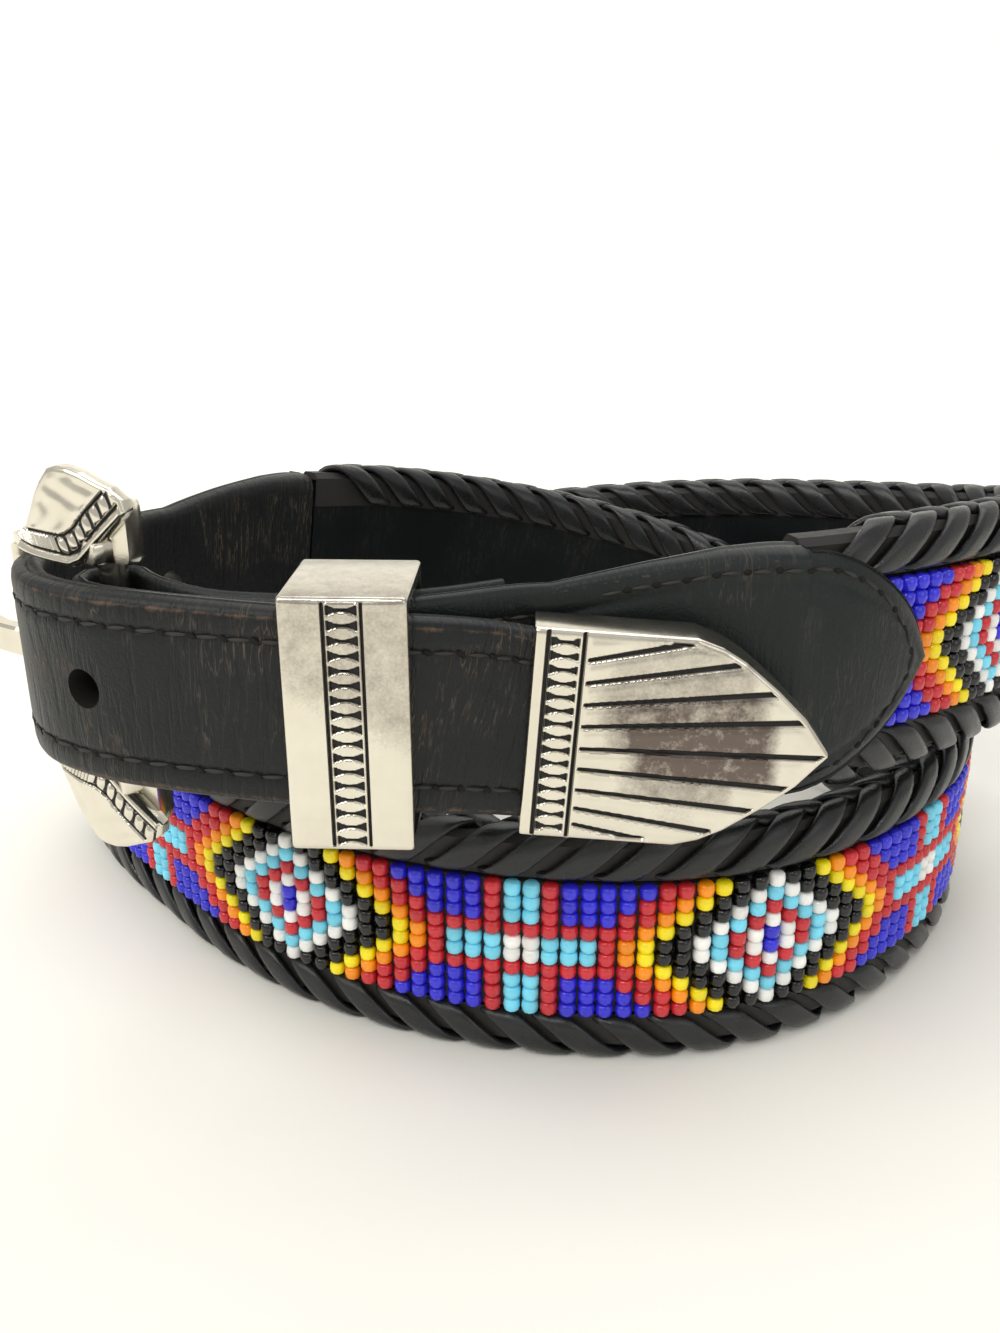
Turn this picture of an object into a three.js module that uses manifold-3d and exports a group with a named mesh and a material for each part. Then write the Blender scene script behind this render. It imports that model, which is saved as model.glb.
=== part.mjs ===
// Beaded belt with laced edges, fastened and standing in two turns.
// Millimetres, Z up, the front of the belt towards -Y.
import * as THREE from 'three';
import { mergeVertices } from 'three/addons/utils/BufferGeometryUtils.js';
import Module from 'manifold-3d';

const wasm = await Module();
wasm.setup();

// Coil
const coil_width = 180;          // unit of the plan table, side to side
const coil_depth = 140;          // unit of the plan table, front to back
const centre_x = 4.7;            // middle of the coil's outline, taken off every place
const centre_y = -1.02;
const step_body = 10;            // longest facet along the beaded part
const step_billet = 5;           // longest facet along the plain ends

// Beaded part
const body_width = 38.4;         // over both laced edges
const bead_rows = 10;
const bead_row_pitch = 2.2;
const bead_thickness = 2.5;
const backing_thickness = 3.0;
const lacing_thickness = 7.6;
const small_gap = 0.3;           // between neighbouring pieces

// Plain ends
const billet_width = 25.4;
const inner_thickness = 2.6;     // end that holds the buckle
const loop_thickness = 2.0;      // thinned part folded round the bar
const strap_thickness = 4.2;     // end with the holes
const edge_bevel = 0.7;
const tab_thickness = 2.6;       // rounded end stitched over the beads
const tab_length = 20;
const hole_diameter = 5.2;
const hole_pitch = 19.05;
const hole_count = 4;

// Metal pieces
const metal_wall = 1.3;
const keeper_width = 15;
const keeper_height = 32.4;
const keeper_turn = -2;          // degrees, its own turn; it hangs level, loose on the strap
const keeper_drop = 0.6;
const cap_wall = 1.0;
const cap_length = 37.3;
const cap_height = 28.2;
const cap_cover = 26;            // length of strap inside the cap
const relief = 0.4;              // depth of the cast ornament
const plate_thickness = 2.2;
const plate_radius = 32;         // bow of the buckle
const bar_diameter = 3.8;
const prong_width = 4.2;
const prong_thickness = 2.4;

// Places along the belt, millimetres from the end of the fold behind the keeper
const body_start = 158.4;
const body_end = 863.4;
const bend_start = 910;          // the strap's tight turn through the buckle
const bend_end = 962;
const first_hole = 954.5;
const keeper_place = 988.2;
const cap_place = 1010.5;

// Middle line of the belt. x and y are shares of coil_width and coil_depth,
// lift is the height of the middle line as a share of body_width.
const fold_back = [
  { x: -0.0183, y: -0.3941, lift: 1.6146 },
  { x: -0.0600, y: -0.4205, lift: 1.6146 },
  { x: -0.1044, y: -0.4369, lift: 1.6146 },
  { x: -0.1572, y: -0.4426, lift: 1.6146 },
  { x: -0.2200, y: -0.4298, lift: 1.6146 },
  { x: -0.2639, y: -0.3941, lift: 1.6198 },
  { x: -0.2894, y: -0.3591, lift: 1.6250 },
  { x: -0.3128, y: -0.3698, lift: 1.6276 },
  { x: -0.3200, y: -0.3962, lift: 1.6276 },
  { x: -0.3061, y: -0.4176, lift: 1.6250 },
];
const inner_billet = [
  { x: -0.2667, y: -0.4376, lift: 1.6198 },
  { x: -0.2072, y: -0.4562, lift: 1.6172 },
  { x: -0.1461, y: -0.4641, lift: 1.6172 },
  { x: -0.0989, y: -0.4598, lift: 1.6172 },
  { x: -0.0572, y: -0.4419, lift: 1.6172 },
  { x: -0.0100, y: -0.4141, lift: 1.6146 },
  { x: 0.0428, y: -0.4034, lift: 1.6120 },
  { x: 0.1067, y: -0.3898, lift: 1.6068 },
];
const upper_turn = [
  { x: 0.1926, y: -0.3619, lift: 1.6007 },
  { x: 0.2741, y: -0.3124, lift: 1.5938 },
  { x: 0.3481, y: -0.2419, lift: 1.5694 },
  { x: 0.4222, y: -0.1543, lift: 1.5347 },
  { x: 0.4889, y: -0.0524, lift: 1.4722 },
  { x: 0.5244, y: 0.0762, lift: 1.3750 },
  { x: 0.4948, y: 0.2190, lift: 1.2778 },
  { x: 0.4037, y: 0.3381, lift: 1.2083 },
  { x: 0.2815, y: 0.4190, lift: 1.1597 },
  { x: 0.1407, y: 0.4667, lift: 1.0972 },
  { x: 0.0000, y: 0.4810, lift: 1.0139 },
  { x: -0.1333, y: 0.4619, lift: 0.8958 },
  { x: -0.2667, y: 0.4124, lift: 0.7431 },
  { x: -0.3852, y: 0.3333, lift: 0.5833 },
];
const lower_turn = [
  { x: -0.4593, y: 0.2333, lift: 0.5035 },
  { x: -0.4689, y: 0.1190, lift: 0.5000 },
  { x: -0.4193, y: 0.0029, lift: 0.5000 },
  { x: -0.3459, y: -0.1076, lift: 0.5000 },
  { x: -0.2667, y: -0.2133, lift: 0.5000 },
  { x: -0.1741, y: -0.2990, lift: 0.5000 },
  { x: -0.0704, y: -0.3562, lift: 0.5000 },
  { x: 0.0407, y: -0.3829, lift: 0.5000 },
  { x: 0.1481, y: -0.3752, lift: 0.5000 },
  { x: 0.2481, y: -0.3257, lift: 0.5000 },
  { x: 0.3333, y: -0.2400, lift: 0.5000 },
  { x: 0.3985, y: -0.1333, lift: 0.5000 },
  { x: 0.4356, y: -0.0095, lift: 0.5000 },
  { x: 0.4267, y: 0.1000, lift: 0.5069 },
];
const rising_turn = [
  { x: 0.3741, y: 0.2000, lift: 0.6042 },
  { x: 0.2889, y: 0.2810, lift: 0.7812 },
  { x: 0.1778, y: 0.3410, lift: 0.9653 },
  { x: 0.0593, y: 0.3552, lift: 1.1111 },
  { x: -0.0519, y: 0.3171, lift: 1.2431 },
  { x: -0.1519, y: 0.2238, lift: 1.3715 },
  { x: -0.2333, y: 0.1048, lift: 1.4687 },
  { x: -0.3000, y: -0.0095, lift: 1.5486 },
  { x: -0.3481, y: -0.1210, lift: 1.5903 },
];
const tip_strap = [
  { x: -0.3594, y: -0.2062, lift: 1.6042 },
  { x: -0.3700, y: -0.2812, lift: 1.6198 },
  { x: -0.3717, y: -0.3419, lift: 1.6354 },
  { x: -0.3461, y: -0.4076, lift: 1.6458 },
  { x: -0.3006, y: -0.4512, lift: 1.6510 },
  { x: -0.2517, y: -0.4734, lift: 1.6510 },
  { x: -0.2017, y: -0.4862, lift: 1.6432 },
  { x: -0.1539, y: -0.4919, lift: 1.6302 },
  { x: -0.1044, y: -0.4919, lift: 1.6094 },
  { x: -0.0600, y: -0.4762, lift: 1.5755 },
  { x: -0.0211, y: -0.4548, lift: 1.5260 },
  { x: 0.0206, y: -0.4498, lift: 1.4948 },
  { x: 0.0706, y: -0.4512, lift: 1.4778 },
  { x: 0.1372, y: -0.4541, lift: 1.4596 },
  { x: 0.2094, y: -0.4569, lift: 1.4401 },
];

const rows = [...fold_back, ...inner_billet, ...upper_turn, ...lower_turn, ...rising_turn, ...tip_strap];
function place_of(row) {
  return new THREE.Vector3(row.x * coil_width - centre_x, row.y * coil_depth - centre_y, row.lift * body_width);
}
const curve = new THREE.CatmullRomCurve3(rows.map(place_of), false, 'catmullrom', 0.5);

// Distance along the belt for every hundredth of a row. Nothing dips below
// the surface that the lower turn stands on.
const samples = (rows.length - 1) * 100;
const places = [];
for (let i = 0; i <= samples; i += 1) {
  const place = curve.getPoint(i / samples);
  place.z = Math.max(place.z, body_width / 2);
  places.push(place);
}
const run = [0];
for (let i = 1; i <= samples; i += 1) {
  run.push(run[i - 1] + places[i].distanceTo(places[i - 1]));
}
const belt_length = run[samples];

// Place, travel, up and outward directions at a distance along the belt
function frame_at(distance) {
  let low = 0;
  let high = samples;
  while (high - low > 1) {
    const middle = (low + high) >> 1;
    if (run[middle] <= distance) {
      low = middle;
    } else {
      high = middle;
    }
  }
  const share = (distance - run[low]) / (run[high] - run[low]);
  const p = places[low].clone().lerp(places[high], share);
  const before = places[Math.max(low - 30, 0)];
  const after = places[Math.min(high + 30, samples)];
  const t = after.clone().sub(before).normalize();
  const z = new THREE.Vector3(0, 0, 1);
  const u = z.clone().addScaledVector(t, -t.z).normalize();
  const n = new THREE.Vector3().crossVectors(t, u);
  return { p, t, u, n };
}

// Mesh from rings of equal count, closed at both ends. A ring lists points
// anticlockwise in the plane of out and up. Each quad is split along its
// shorter diagonal, so that faces lying close together stay apart.
function mesh_of_rings(rings, flat) {
  const count = rings[0].length;
  const position = [];
  const index = [];
  for (const ring of rings) {
    for (const q of ring) {
      position.push(q.x, q.y, q.z);
    }
  }
  for (let i = 0; i < rings.length - 1; i += 1) {
    for (let j = 0; j < count; j += 1) {
      const k = (j + 1) % count;
      const a = i * count + j;
      const b = i * count + k;
      const c = (i + 1) * count + j;
      const d = (i + 1) * count + k;
      const falling = rings[i][k].distanceTo(rings[i + 1][j]);
      const rising = rings[i][j].distanceTo(rings[i + 1][k]);
      if (falling < rising) {
        index.push(b, a, c, b, c, d);
      } else {
        index.push(a, c, d, a, d, b);
      }
    }
  }
  const faces = THREE.ShapeUtils.triangulateShape(flat, []);
  const last = (rings.length - 1) * count;
  for (const f of faces) {
    index.push(f[0], f[1], f[2]);
    index.push(last + f[2], last + f[1], last + f[0]);
  }
  const g = new THREE.BufferGeometry();
  g.setAttribute('position', new THREE.Float32BufferAttribute(position, 3));
  g.setIndex(index);
  return g;
}

// Band along the belt. section(distance) gives [out, up] pairs.
function band(distances, section) {
  const rings = distances.map((d) => {
    const f = frame_at(d);
    return section(d).map(([out, up]) => f.p.clone().addScaledVector(f.n, out).addScaledVector(f.u, up));
  });
  const flat = section(distances[0]).map(([out, up]) => new THREE.Vector2(out, up));
  return mesh_of_rings(rings, flat);
}

// Equal steps no longer than step
function steps(from, to, step) {
  const count = Math.ceil((to - from) / step);
  return Array.from({ length: count + 1 }, (_, i) => from + ((to - from) * i) / count);
}

// Straight-line reading of a table by its first column
function read_table(table, key, at, column) {
  if (at <= table[0][key]) {
    return table[0][column];
  }
  for (let i = 1; i < table.length; i += 1) {
    if (at <= table[i][key]) {
      const share = (at - table[i - 1][key]) / (table[i][key] - table[i - 1][key]);
      return table[i - 1][column] + share * (table[i][column] - table[i - 1][column]);
    }
  }
  return table[table.length - 1][column];
}

// Solids for cutting and joining
function to_solid(geometry) {
  const bare = new THREE.BufferGeometry();
  bare.setAttribute('position', geometry.getAttribute('position').clone());
  if (geometry.index) {
    bare.setIndex(geometry.index.clone());
  }
  const g = mergeVertices(bare, 1e-4);
  return new wasm.Manifold(new wasm.Mesh({
    numProp: 3,
    vertProperties: new Float32Array(g.getAttribute('position').array),
    triVerts: new Uint32Array(g.index.array),
  }));
}

function to_geometry(solid) {
  const m = solid.getMesh();
  const g = new THREE.BufferGeometry();
  g.setAttribute('position', new THREE.Float32BufferAttribute(Array.from(m.vertProperties), 3));
  g.setIndex(Array.from(m.triVerts));
  return g;
}

// Geometry drawn with X along the belt's travel, Y up and Z out, set into a frame
function set_in(f, g) {
  const basis = new THREE.Matrix4().makeBasis(f.t, f.u, f.n).setPosition(f.p);
  return g.clone().applyMatrix4(basis);
}

// Box from two corners given as along, up and out
function box_in(f, from, to) {
  const g = new THREE.BoxGeometry(to[0] - from[0], to[1] - from[1], to[2] - from[2]);
  g.translate((from[0] + to[0]) / 2, (from[1] + to[1]) / 2, (from[2] + to[2]) / 2);
  return to_solid(set_in(f, g));
}

// Beaded part: backing strap, bead panel and the two laced edges
const body_half = body_width / 2;
const bead_half = (bead_rows * bead_row_pitch) / 2;
const lace_half = lacing_thickness / 2;
const backing_out = backing_thickness / 2 - 0.4;
const backing_in = backing_out - backing_thickness;
const backing_half = body_half - 3;
const lace_foot = bead_half + small_gap;
const slot_top = backing_half + 0.4;
const body_steps = steps(body_start, body_end, step_body);

const backing = band(body_steps, () => [
  [backing_in, -backing_half], [backing_out, -backing_half],
  [backing_out, -bead_half], [backing_out, bead_half],
  [backing_out, backing_half], [backing_in, backing_half],
  [backing_in, bead_half], [backing_in, -bead_half],
]);

const bead_in = backing_out + small_gap;
const bead_out = bead_in + bead_thickness;
const beads = band(body_steps, () => [
  [bead_in, -bead_half], [bead_out - 0.5, -bead_half], [bead_out, -bead_half + 0.6],
  [bead_out, bead_half - 0.6], [bead_out - 0.5, bead_half], [bead_in, bead_half],
]);

const lace_section = [
  [backing_out + 0.4, lace_foot], [lace_half - 0.5, lace_foot], [lace_half, lace_foot + 1.4],
  [lace_half, body_half - 2.6], [lace_half - 0.9, body_half - 0.9], [1.6, body_half], [-1.6, body_half],
  [0.9 - lace_half, body_half - 0.9], [-lace_half, body_half - 2.6], [-lace_half, lace_foot + 1.4],
  [0.5 - lace_half, lace_foot], [backing_in - 0.4, lace_foot], [backing_in - 0.4, slot_top],
  [backing_out + 0.4, slot_top],
];
const lacing_top = band(body_steps, () => lace_section);
const lacing_bottom = band(body_steps, () => lace_section.map(([out, up]) => [out, -up]).reverse());

// Plain ends. past: millimetres from the start of the beads, towards the beads;
// half: half height as a share of body_width; out and inner: faces either side
// of the middle line.
const narrow = billet_width / 2 / body_width;
const tab_in = bead_out + small_gap;
const tab_out = tab_in + tab_thickness;
const tab_table = [
  { past: -32, half: narrow, inner: -inner_thickness / 2, out: inner_thickness / 2 },
  { past: -20, half: 0.395, inner: -1.6, out: 2.2 },
  { past: -10, half: 0.438, inner: -1.9, out: 3.7 },
  { past: -4, half: 0.45, inner: backing_in, out: 5.2 },
  { past: -0.5, half: 0.447, inner: backing_in, out: 6.0 },
  { past: -0.3, half: 0.447, inner: tab_in, out: 6.0 },
  { past: 4, half: 0.42, inner: tab_in, out: tab_out - 0.2 },
  { past: 8, half: 0.375, inner: tab_in, out: tab_out },
  { past: 12, half: 0.305, inner: tab_in, out: tab_out },
  { past: 15, half: 0.235, inner: tab_in, out: tab_out - 0.2 },
  { past: 17.5, half: 0.155, inner: tab_in, out: tab_out - 0.5 },
  { past: 19.2, half: 0.075, inner: tab_in, out: tab_out - 0.8 },
  { past: tab_length, half: 0.012, inner: tab_in, out: tab_out - 1.0 },
];

function billet_section(half, inner, out) {
  const bevel = Math.min(edge_bevel, half / 2, (out - inner) / 3);
  return [
    [inner, bevel - half], [inner + bevel, -half], [out - bevel, -half], [out, bevel - half],
    [out, half - bevel], [out - bevel, half], [inner + bevel, half], [inner, half - bevel],
  ];
}

// plain: half the thickness of the plain end that the tab grows out of
function tab_section(past, plain) {
  const half = read_table(tab_table, 'past', past, 'half') * body_width;
  const inner = read_table(tab_table, 'past', past, 'inner');
  const out = read_table(tab_table, 'past', past, 'out');
  return billet_section(half, Math.min(inner, past < -8 ? -plain : inner), Math.max(out, plain));
}

const tab_pasts = tab_table.map((r) => r.past);

// End that holds the buckle: fold, loop round the bar, billet and tab
const bar_loop_start = 30;
const bar_loop_end = 62;
const inner_steps = [
  ...steps(0.5, bar_loop_start, step_billet * 1.4),
  ...steps(bar_loop_start, bar_loop_end, 2.4).slice(1),
  ...steps(bar_loop_end, body_start - 34, step_billet * 1.4).slice(1),
  ...tab_pasts.map((past) => body_start + past),
];
function inner_section(d) {
  if (d < body_start - 33) {
    const thick = d < bar_loop_end + 6 ? loop_thickness : inner_thickness;
    return billet_section(billet_width / 2, -thick / 2, thick / 2);
  }
  return tab_section(d - body_start, inner_thickness / 2);
}
const inner_band = band(inner_steps, inner_section);

// Half outline of the tip cap, from its open end to its point: shares of
// cap_length and cap_height
const cap_outline = [
  { along: 0, half: 0.5 }, { along: 0.527, half: 0.5 },
  { along: 0.612, half: 0.465 }, { along: 0.69, half: 0.408 },
  { along: 0.81, half: 0.286 }, { along: 0.912, half: 0.165 }, { along: 1, half: 0.015 },
];

function cap_half(along) {
  return read_table(cap_outline, 'along', Math.max(along, 0) / cap_length, 'half') * cap_height;
}
const cap_shoulders = cap_outline.slice(1, 4).map((r) => r.along * cap_length)
  .filter((along) => along < cap_cover);

// End with the holes: tab, strap through the buckle, end inside the cap, where
// it is trimmed to the cap's shoulders
const strap_end = cap_place + cap_cover;
const cap_side_play = 0.4;
const strap_steps = [
  ...tab_pasts.map((past) => body_end - past).reverse(),
  ...steps(body_end + 34, bend_start, step_billet * 1.4),
  ...steps(bend_start, bend_end, step_billet * 0.7).slice(1),
  ...steps(bend_end, cap_place, step_billet * 1.4).slice(1),
  cap_place + cap_shoulders[0] / 2,
  ...cap_shoulders.map((along) => cap_place + along),
  strap_end,
];
const strap_half_thick = strap_thickness / 2;
function strap_section(d) {
  if (d > body_end + 33) {
    const room = d > cap_place ? cap_half(d - cap_place) - cap_wall - cap_side_play : billet_width;
    return billet_section(Math.min(billet_width / 2, room), -strap_half_thick, strap_half_thick);
  }
  return tab_section(body_end - d, strap_half_thick);
}
const strap_band = band(strap_steps, strap_section);

// Buckle. Its frame has along towards the bar, with the origin in the middle
// of the plate's outer face.
const buckle_seat = { x: -0.35444, y: -0.3705, lift: 1.63281 };   // shares, as in the rows
const buckle_at = { p: place_of(buckle_seat) };
buckle_at.t = new THREE.Vector3(0.731, -0.682, 0).normalize();
buckle_at.u = new THREE.Vector3(0, 0, 1);
buckle_at.n = new THREE.Vector3().crossVectors(buckle_at.t, buckle_at.u);

// Half outline of the plate: along towards the bar, up from the middle
const plate_outline = [
  { along: -17, up: 0 }, { along: -17, up: 5 }, { along: -16.6, up: 9.5 }, { along: -15, up: 12.5 },
  { along: -12, up: 14.9 }, { along: -7, up: 16 }, { along: -3, up: 17.8 }, { along: 1, up: 22.6 },
  { along: 4.5, up: 26 }, { along: 8, up: 26.4 }, { along: 12.5, up: 25 }, { along: 16, up: 23.4 },
  { along: 16.6, up: 21.2 }, { along: 12.5, up: 17.4 }, { along: 8, up: 13.6 }, { along: 3, up: 13.6 },
  { along: -3, up: 13.6 }, { along: -8, up: 13.6 }, { along: -11.8, up: 13.2 }, { along: -13.3, up: 11 },
  { along: -13.6, up: 5 }, { along: -13.6, up: 0 },
];
const plate_points = [
  ...plate_outline.map((r) => new THREE.Vector2(r.along, r.up)),
  ...plate_outline.slice(1, -1).reverse().map((r) => new THREE.Vector2(r.along, -r.up)),
];

// Bowed along its length, in the same axes
function bow(g) {
  const p = g.getAttribute('position');
  for (let i = 0; i < p.count; i += 1) {
    const angle = p.getX(i) / plate_radius;
    const reach = plate_radius + p.getZ(i);
    p.setXYZ(i, reach * Math.sin(angle), p.getY(i), reach * Math.cos(angle) - plate_radius);
  }
  return g;
}

function plate_piece(points, from_out, to_out, bevel) {
  const g = new THREE.ExtrudeGeometry(new THREE.Shape(points), {
    depth: to_out - from_out - 2 * bevel, bevelEnabled: bevel > 0, bevelThickness: bevel,
    bevelSize: bevel, bevelOffset: -bevel, bevelSegments: 1,
  });
  g.translate(0, 0, from_out + bevel);
  return to_solid(set_in(buckle_at, bow(g)));
}

const bar_along = 9.6;
const bar_out = -5.1;
const bar_reach = billet_width / 2 + 2.4;
const bar = new THREE.CylinderGeometry(bar_diameter / 2, bar_diameter / 2, 2 * bar_reach, 14);
bar.translate(bar_along, 0, bar_out);
let buckle = plate_piece(plate_points, -plate_thickness, 0, 0.4);
buckle = buckle.add(to_solid(set_in(buckle_at, bar)));
for (const side of [-1, 1]) {
  const leg = new THREE.BoxGeometry(5, 3.4, 5.6);
  leg.translate(bar_along, side * (billet_width / 2 + 3.2), bar_out + 0.7);
  buckle = buckle.add(to_solid(set_in(buckle_at, leg)));
}

// Raised border of the plate: a ribbed strip beside the opening that turns up
// along the slanted end
const border_ribs = 11;
for (const side of [-1, 1]) {
  for (let i = 0; i < border_ribs; i += 1) {
    const along = -9.5 + i * 1.55;
    const rib = [[0.45, 14.3], [0.45, 16.6], [-0.45, 16.6], [-0.45, 14.3]]
      .map(([dx, up]) => new THREE.Vector2(along + dx * side, up * side));
    buckle = buckle.add(plate_piece(rib, -0.8, relief, 0));
  }
  for (let i = 0; i < 5; i += 1) {
    const along = 9.3 + i * 1.45;
    const up = 15.9 + i * 1.35;
    const rib = [[-0.2, 0.9], [0.75, 0.1], [0.2, -0.9], [-0.75, -0.1]]
      .map(([dx, dy]) => new THREE.Vector2(along - 1.2 + dx, (up + 0.9 + dy) * side));
    buckle = buckle.add(plate_piece(side > 0 ? rib.reverse() : rib, -0.8, relief, 0));
  }
}

// Piece drawn from the side, as [along, out] points, from one height to another
function side_piece(f, points, from_up, to_up, bevel) {
  const g = new THREE.ExtrudeGeometry(new THREE.Shape(points.map(([x, y]) => new THREE.Vector2(x, y))), {
    depth: to_up - from_up - 2 * bevel, bevelEnabled: bevel > 0, bevelThickness: bevel,
    bevelSize: bevel, bevelOffset: -bevel, bevelSegments: 1,
  });
  g.rotateX(Math.PI / 2);
  g.translate(0, to_up - bevel, 0);
  return to_solid(set_in(f, g));
}

// Prong: ring round the bar and a flat tongue through the strap, over the front
const prong_line = [
  { along: 6.6, out: -4.2 }, { along: 1.5, out: -3.6 }, { along: -4.8, out: -2.9 }, { along: -9.7, out: -0.5 },
  { along: -13.2, out: 0.2 }, { along: -18, out: 0.2 },
];
function prong_tongue(extra) {
  const upper = [];
  const lower = [];
  prong_line.forEach((r, i) => {
    const a = prong_line[Math.max(i - 1, 0)];
    const b = prong_line[Math.min(i + 1, prong_line.length - 1)];
    const way = new THREE.Vector2(b.along - a.along, b.out - a.out).normalize();
    const thick = prong_thickness / 2 + extra;
    upper.push([r.along - way.y * thick, r.out + way.x * thick]);
    lower.push([r.along + way.y * thick, r.out - way.x * thick]);
  });
  const points = [...upper, ...lower.reverse()];
  return side_piece(buckle_at, points, -prong_width / 2 - extra, prong_width / 2 + extra, extra > 0 ? 0 : 0.4);
}
const ring_inner = bar_diameter / 2 + 0.35;
const ring_outer = ring_inner + 1.6;
function bar_ring(outer, inner, height) {
  const points = [[inner, -1], [outer, -1], [outer, 1], [inner, 1], [inner, -1]]
    .map(([r, side]) => new THREE.Vector2(r, (side * height) / 2));
  const g = new THREE.LatheGeometry(points, 18);
  g.translate(bar_along, 0, bar_out);
  return to_solid(set_in(buckle_at, g));
}
function bar_post(outer, height) {
  const g = new THREE.CylinderGeometry(outer, outer, height, 18);
  g.translate(bar_along, 0, bar_out);
  return to_solid(set_in(buckle_at, g));
}
const prong = prong_tongue(0).add(bar_ring(ring_outer, ring_inner, prong_width))
  .subtract(bar_post(ring_inner, prong_width + 2));

// The loop's slot for the prong, the hole stretched by it, and the other holes
const prong_room = 0.35;
let inner_billet_solid = to_solid(inner_band)
  .subtract(bar_post(ring_outer + 3.4, prong_width + 2 * prong_room))
  .subtract(prong_tongue(prong_room));
let strap_solid = to_solid(strap_band).subtract(prong_tongue(prong_room));
for (let i = 0; i < hole_count; i += 1) {
  const f = frame_at(first_hole - i * hole_pitch);
  const punch = new THREE.CylinderGeometry(hole_diameter / 2, hole_diameter / 2, strap_thickness + 4, 14);
  punch.rotateX(Math.PI / 2);
  strap_solid = strap_solid.subtract(to_solid(set_in(f, punch)));
}

// Ornament of the keeper and the cap: a sunk strip filled with a chain of ovals
function oval_chain(f, from, to, low, high, count, face) {
  const sunk = box_in(f, [from, low, face - relief], [to, high, face + 1]);
  const ovals = [];
  const pitch = (high - low) / count;
  const middle = (from + to) / 2;
  const reach = (to - from) / 2 - 0.35;
  for (let i = 0; i < count; i += 1) {
    const up = low + (i + 0.5) * pitch;
    const tall = pitch / 2 - 0.12;
    const flat = reach * 0.55;
    const outline = [[reach, 0], [flat, tall], [-flat, tall], [-reach, 0], [-flat, -tall], [flat, -tall]]
      .map(([x, y]) => new THREE.Vector2(x + middle, y + up));
    const g = new THREE.ExtrudeGeometry(new THREE.Shape(outline), { depth: relief + 0.2, bevelEnabled: false });
    g.translate(0, 0, face - relief - 0.3);
    ovals.push(to_solid(set_in(f, g)));
  }
  return { sunk, ovals };
}

// Keeper: a rectangular ring round the strap and the folded end
const keeper_at = frame_at(keeper_place);
const keeper_yaw = (keeper_turn * Math.PI) / 180;
keeper_at.t.set(Math.cos(keeper_yaw), Math.sin(keeper_yaw), 0);
keeper_at.u.set(0, 0, 1);
keeper_at.n.crossVectors(keeper_at.t, keeper_at.u);
keeper_at.p.z -= keeper_drop;
const keeper_face = strap_half_thick + 0.6 + metal_wall;
const keeper_back = -11 - metal_wall;
const keeper_half = keeper_height / 2;
const keeper_profile = [
  [-keeper_half + 0.9, keeper_face], [-keeper_half, keeper_face - 0.9], [-keeper_half, keeper_back + 1.4],
  [-keeper_half + 1.4, keeper_back], [keeper_half - 1.4, keeper_back], [keeper_half, keeper_back + 1.4],
  [keeper_half, keeper_face - 0.9], [keeper_half - 0.9, keeper_face],
].map(([up, out]) => new THREE.Vector2(up, out));
const keeper_block = new THREE.ExtrudeGeometry(new THREE.Shape(keeper_profile), {
  depth: keeper_width - 0.8, bevelEnabled: true, bevelThickness: 0.4,
  bevelSize: 0.4, bevelOffset: -0.4, bevelSegments: 1,
});
keeper_block.translate(0, 0, 0.4 - keeper_width / 2);
keeper_block.applyMatrix4(new THREE.Matrix4().makeBasis(
  new THREE.Vector3(0, 1, 0), new THREE.Vector3(0, 0, 1), new THREE.Vector3(1, 0, 0),
));
const keeper_inside = keeper_half - metal_wall - 0.2;
let keeper = to_solid(set_in(keeper_at, keeper_block)).subtract(box_in(
  keeper_at,
  [-keeper_width, -keeper_inside, keeper_back + metal_wall],
  [keeper_width, keeper_inside, keeper_face - metal_wall],
));
const keeper_chain = oval_chain(keeper_at, -2.3, 2.2, -keeper_half + 0.8, keeper_half - 0.8, 16, keeper_face);
keeper = keeper.subtract(keeper_chain.sunk);
for (const oval of keeper_chain.ovals) {
  keeper = keeper.add(oval);
}

// Tip cap: a pointed case over the strap's end
const cap_at = frame_at(cap_place + cap_cover / 2);
cap_at.t = frame_at(strap_end).p.sub(frame_at(cap_place + 3).p).normalize();
cap_at.u = new THREE.Vector3(0, 0, 1).addScaledVector(cap_at.t, -cap_at.t.z).normalize();
cap_at.n = new THREE.Vector3().crossVectors(cap_at.t, cap_at.u);
cap_at.p = frame_at(strap_end).p.addScaledVector(cap_at.t, -cap_cover);
const cap_play = 0.5;
const cap_face = strap_half_thick + cap_play + cap_wall;
const cap_points = [
  ...cap_outline.map((r) => new THREE.Vector2(r.along * cap_length, -r.half * cap_height)),
  ...cap_outline.map((r) => new THREE.Vector2(r.along * cap_length, r.half * cap_height)).reverse(),
];
const cap_block = new THREE.ExtrudeGeometry(new THREE.Shape(cap_points), {
  depth: 2 * cap_face - 1.4, bevelEnabled: true, bevelThickness: 0.7,
  bevelSize: 0.7, bevelOffset: -0.7, bevelSegments: 1,
});
cap_block.translate(0, 0, 0.7 - cap_face);
const pocket_half = billet_width / 2 + cap_side_play;
const pocket_out = strap_half_thick + cap_play;
const pocket_start = -2;
const pocket_end = cap_cover + cap_side_play;
const pocket_side = [pocket_start, 0, ...cap_shoulders, pocket_end]
  .map((along) => [along, Math.min(pocket_half, cap_half(along) - cap_wall)]);
const pocket = new THREE.ExtrudeGeometry(new THREE.Shape([
  ...pocket_side.map(([along, half]) => new THREE.Vector2(along, -half)),
  ...pocket_side.map(([along, half]) => new THREE.Vector2(along, half)).reverse(),
]), { depth: 2 * pocket_out, bevelEnabled: false });
pocket.translate(0, 0, -pocket_out);
const mouth_depth = 3;           // widened mouth of the pocket
const mouth_half = pocket_half + 0.2;
const mouth_out = pocket_out + 0.3;
let cap = to_solid(set_in(cap_at, cap_block)).subtract(to_solid(set_in(cap_at, pocket)));
cap = cap.subtract(box_in(
  cap_at,
  [pocket_start, -mouth_half, -mouth_out], [mouth_depth, mouth_half, mouth_out],
));
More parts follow.
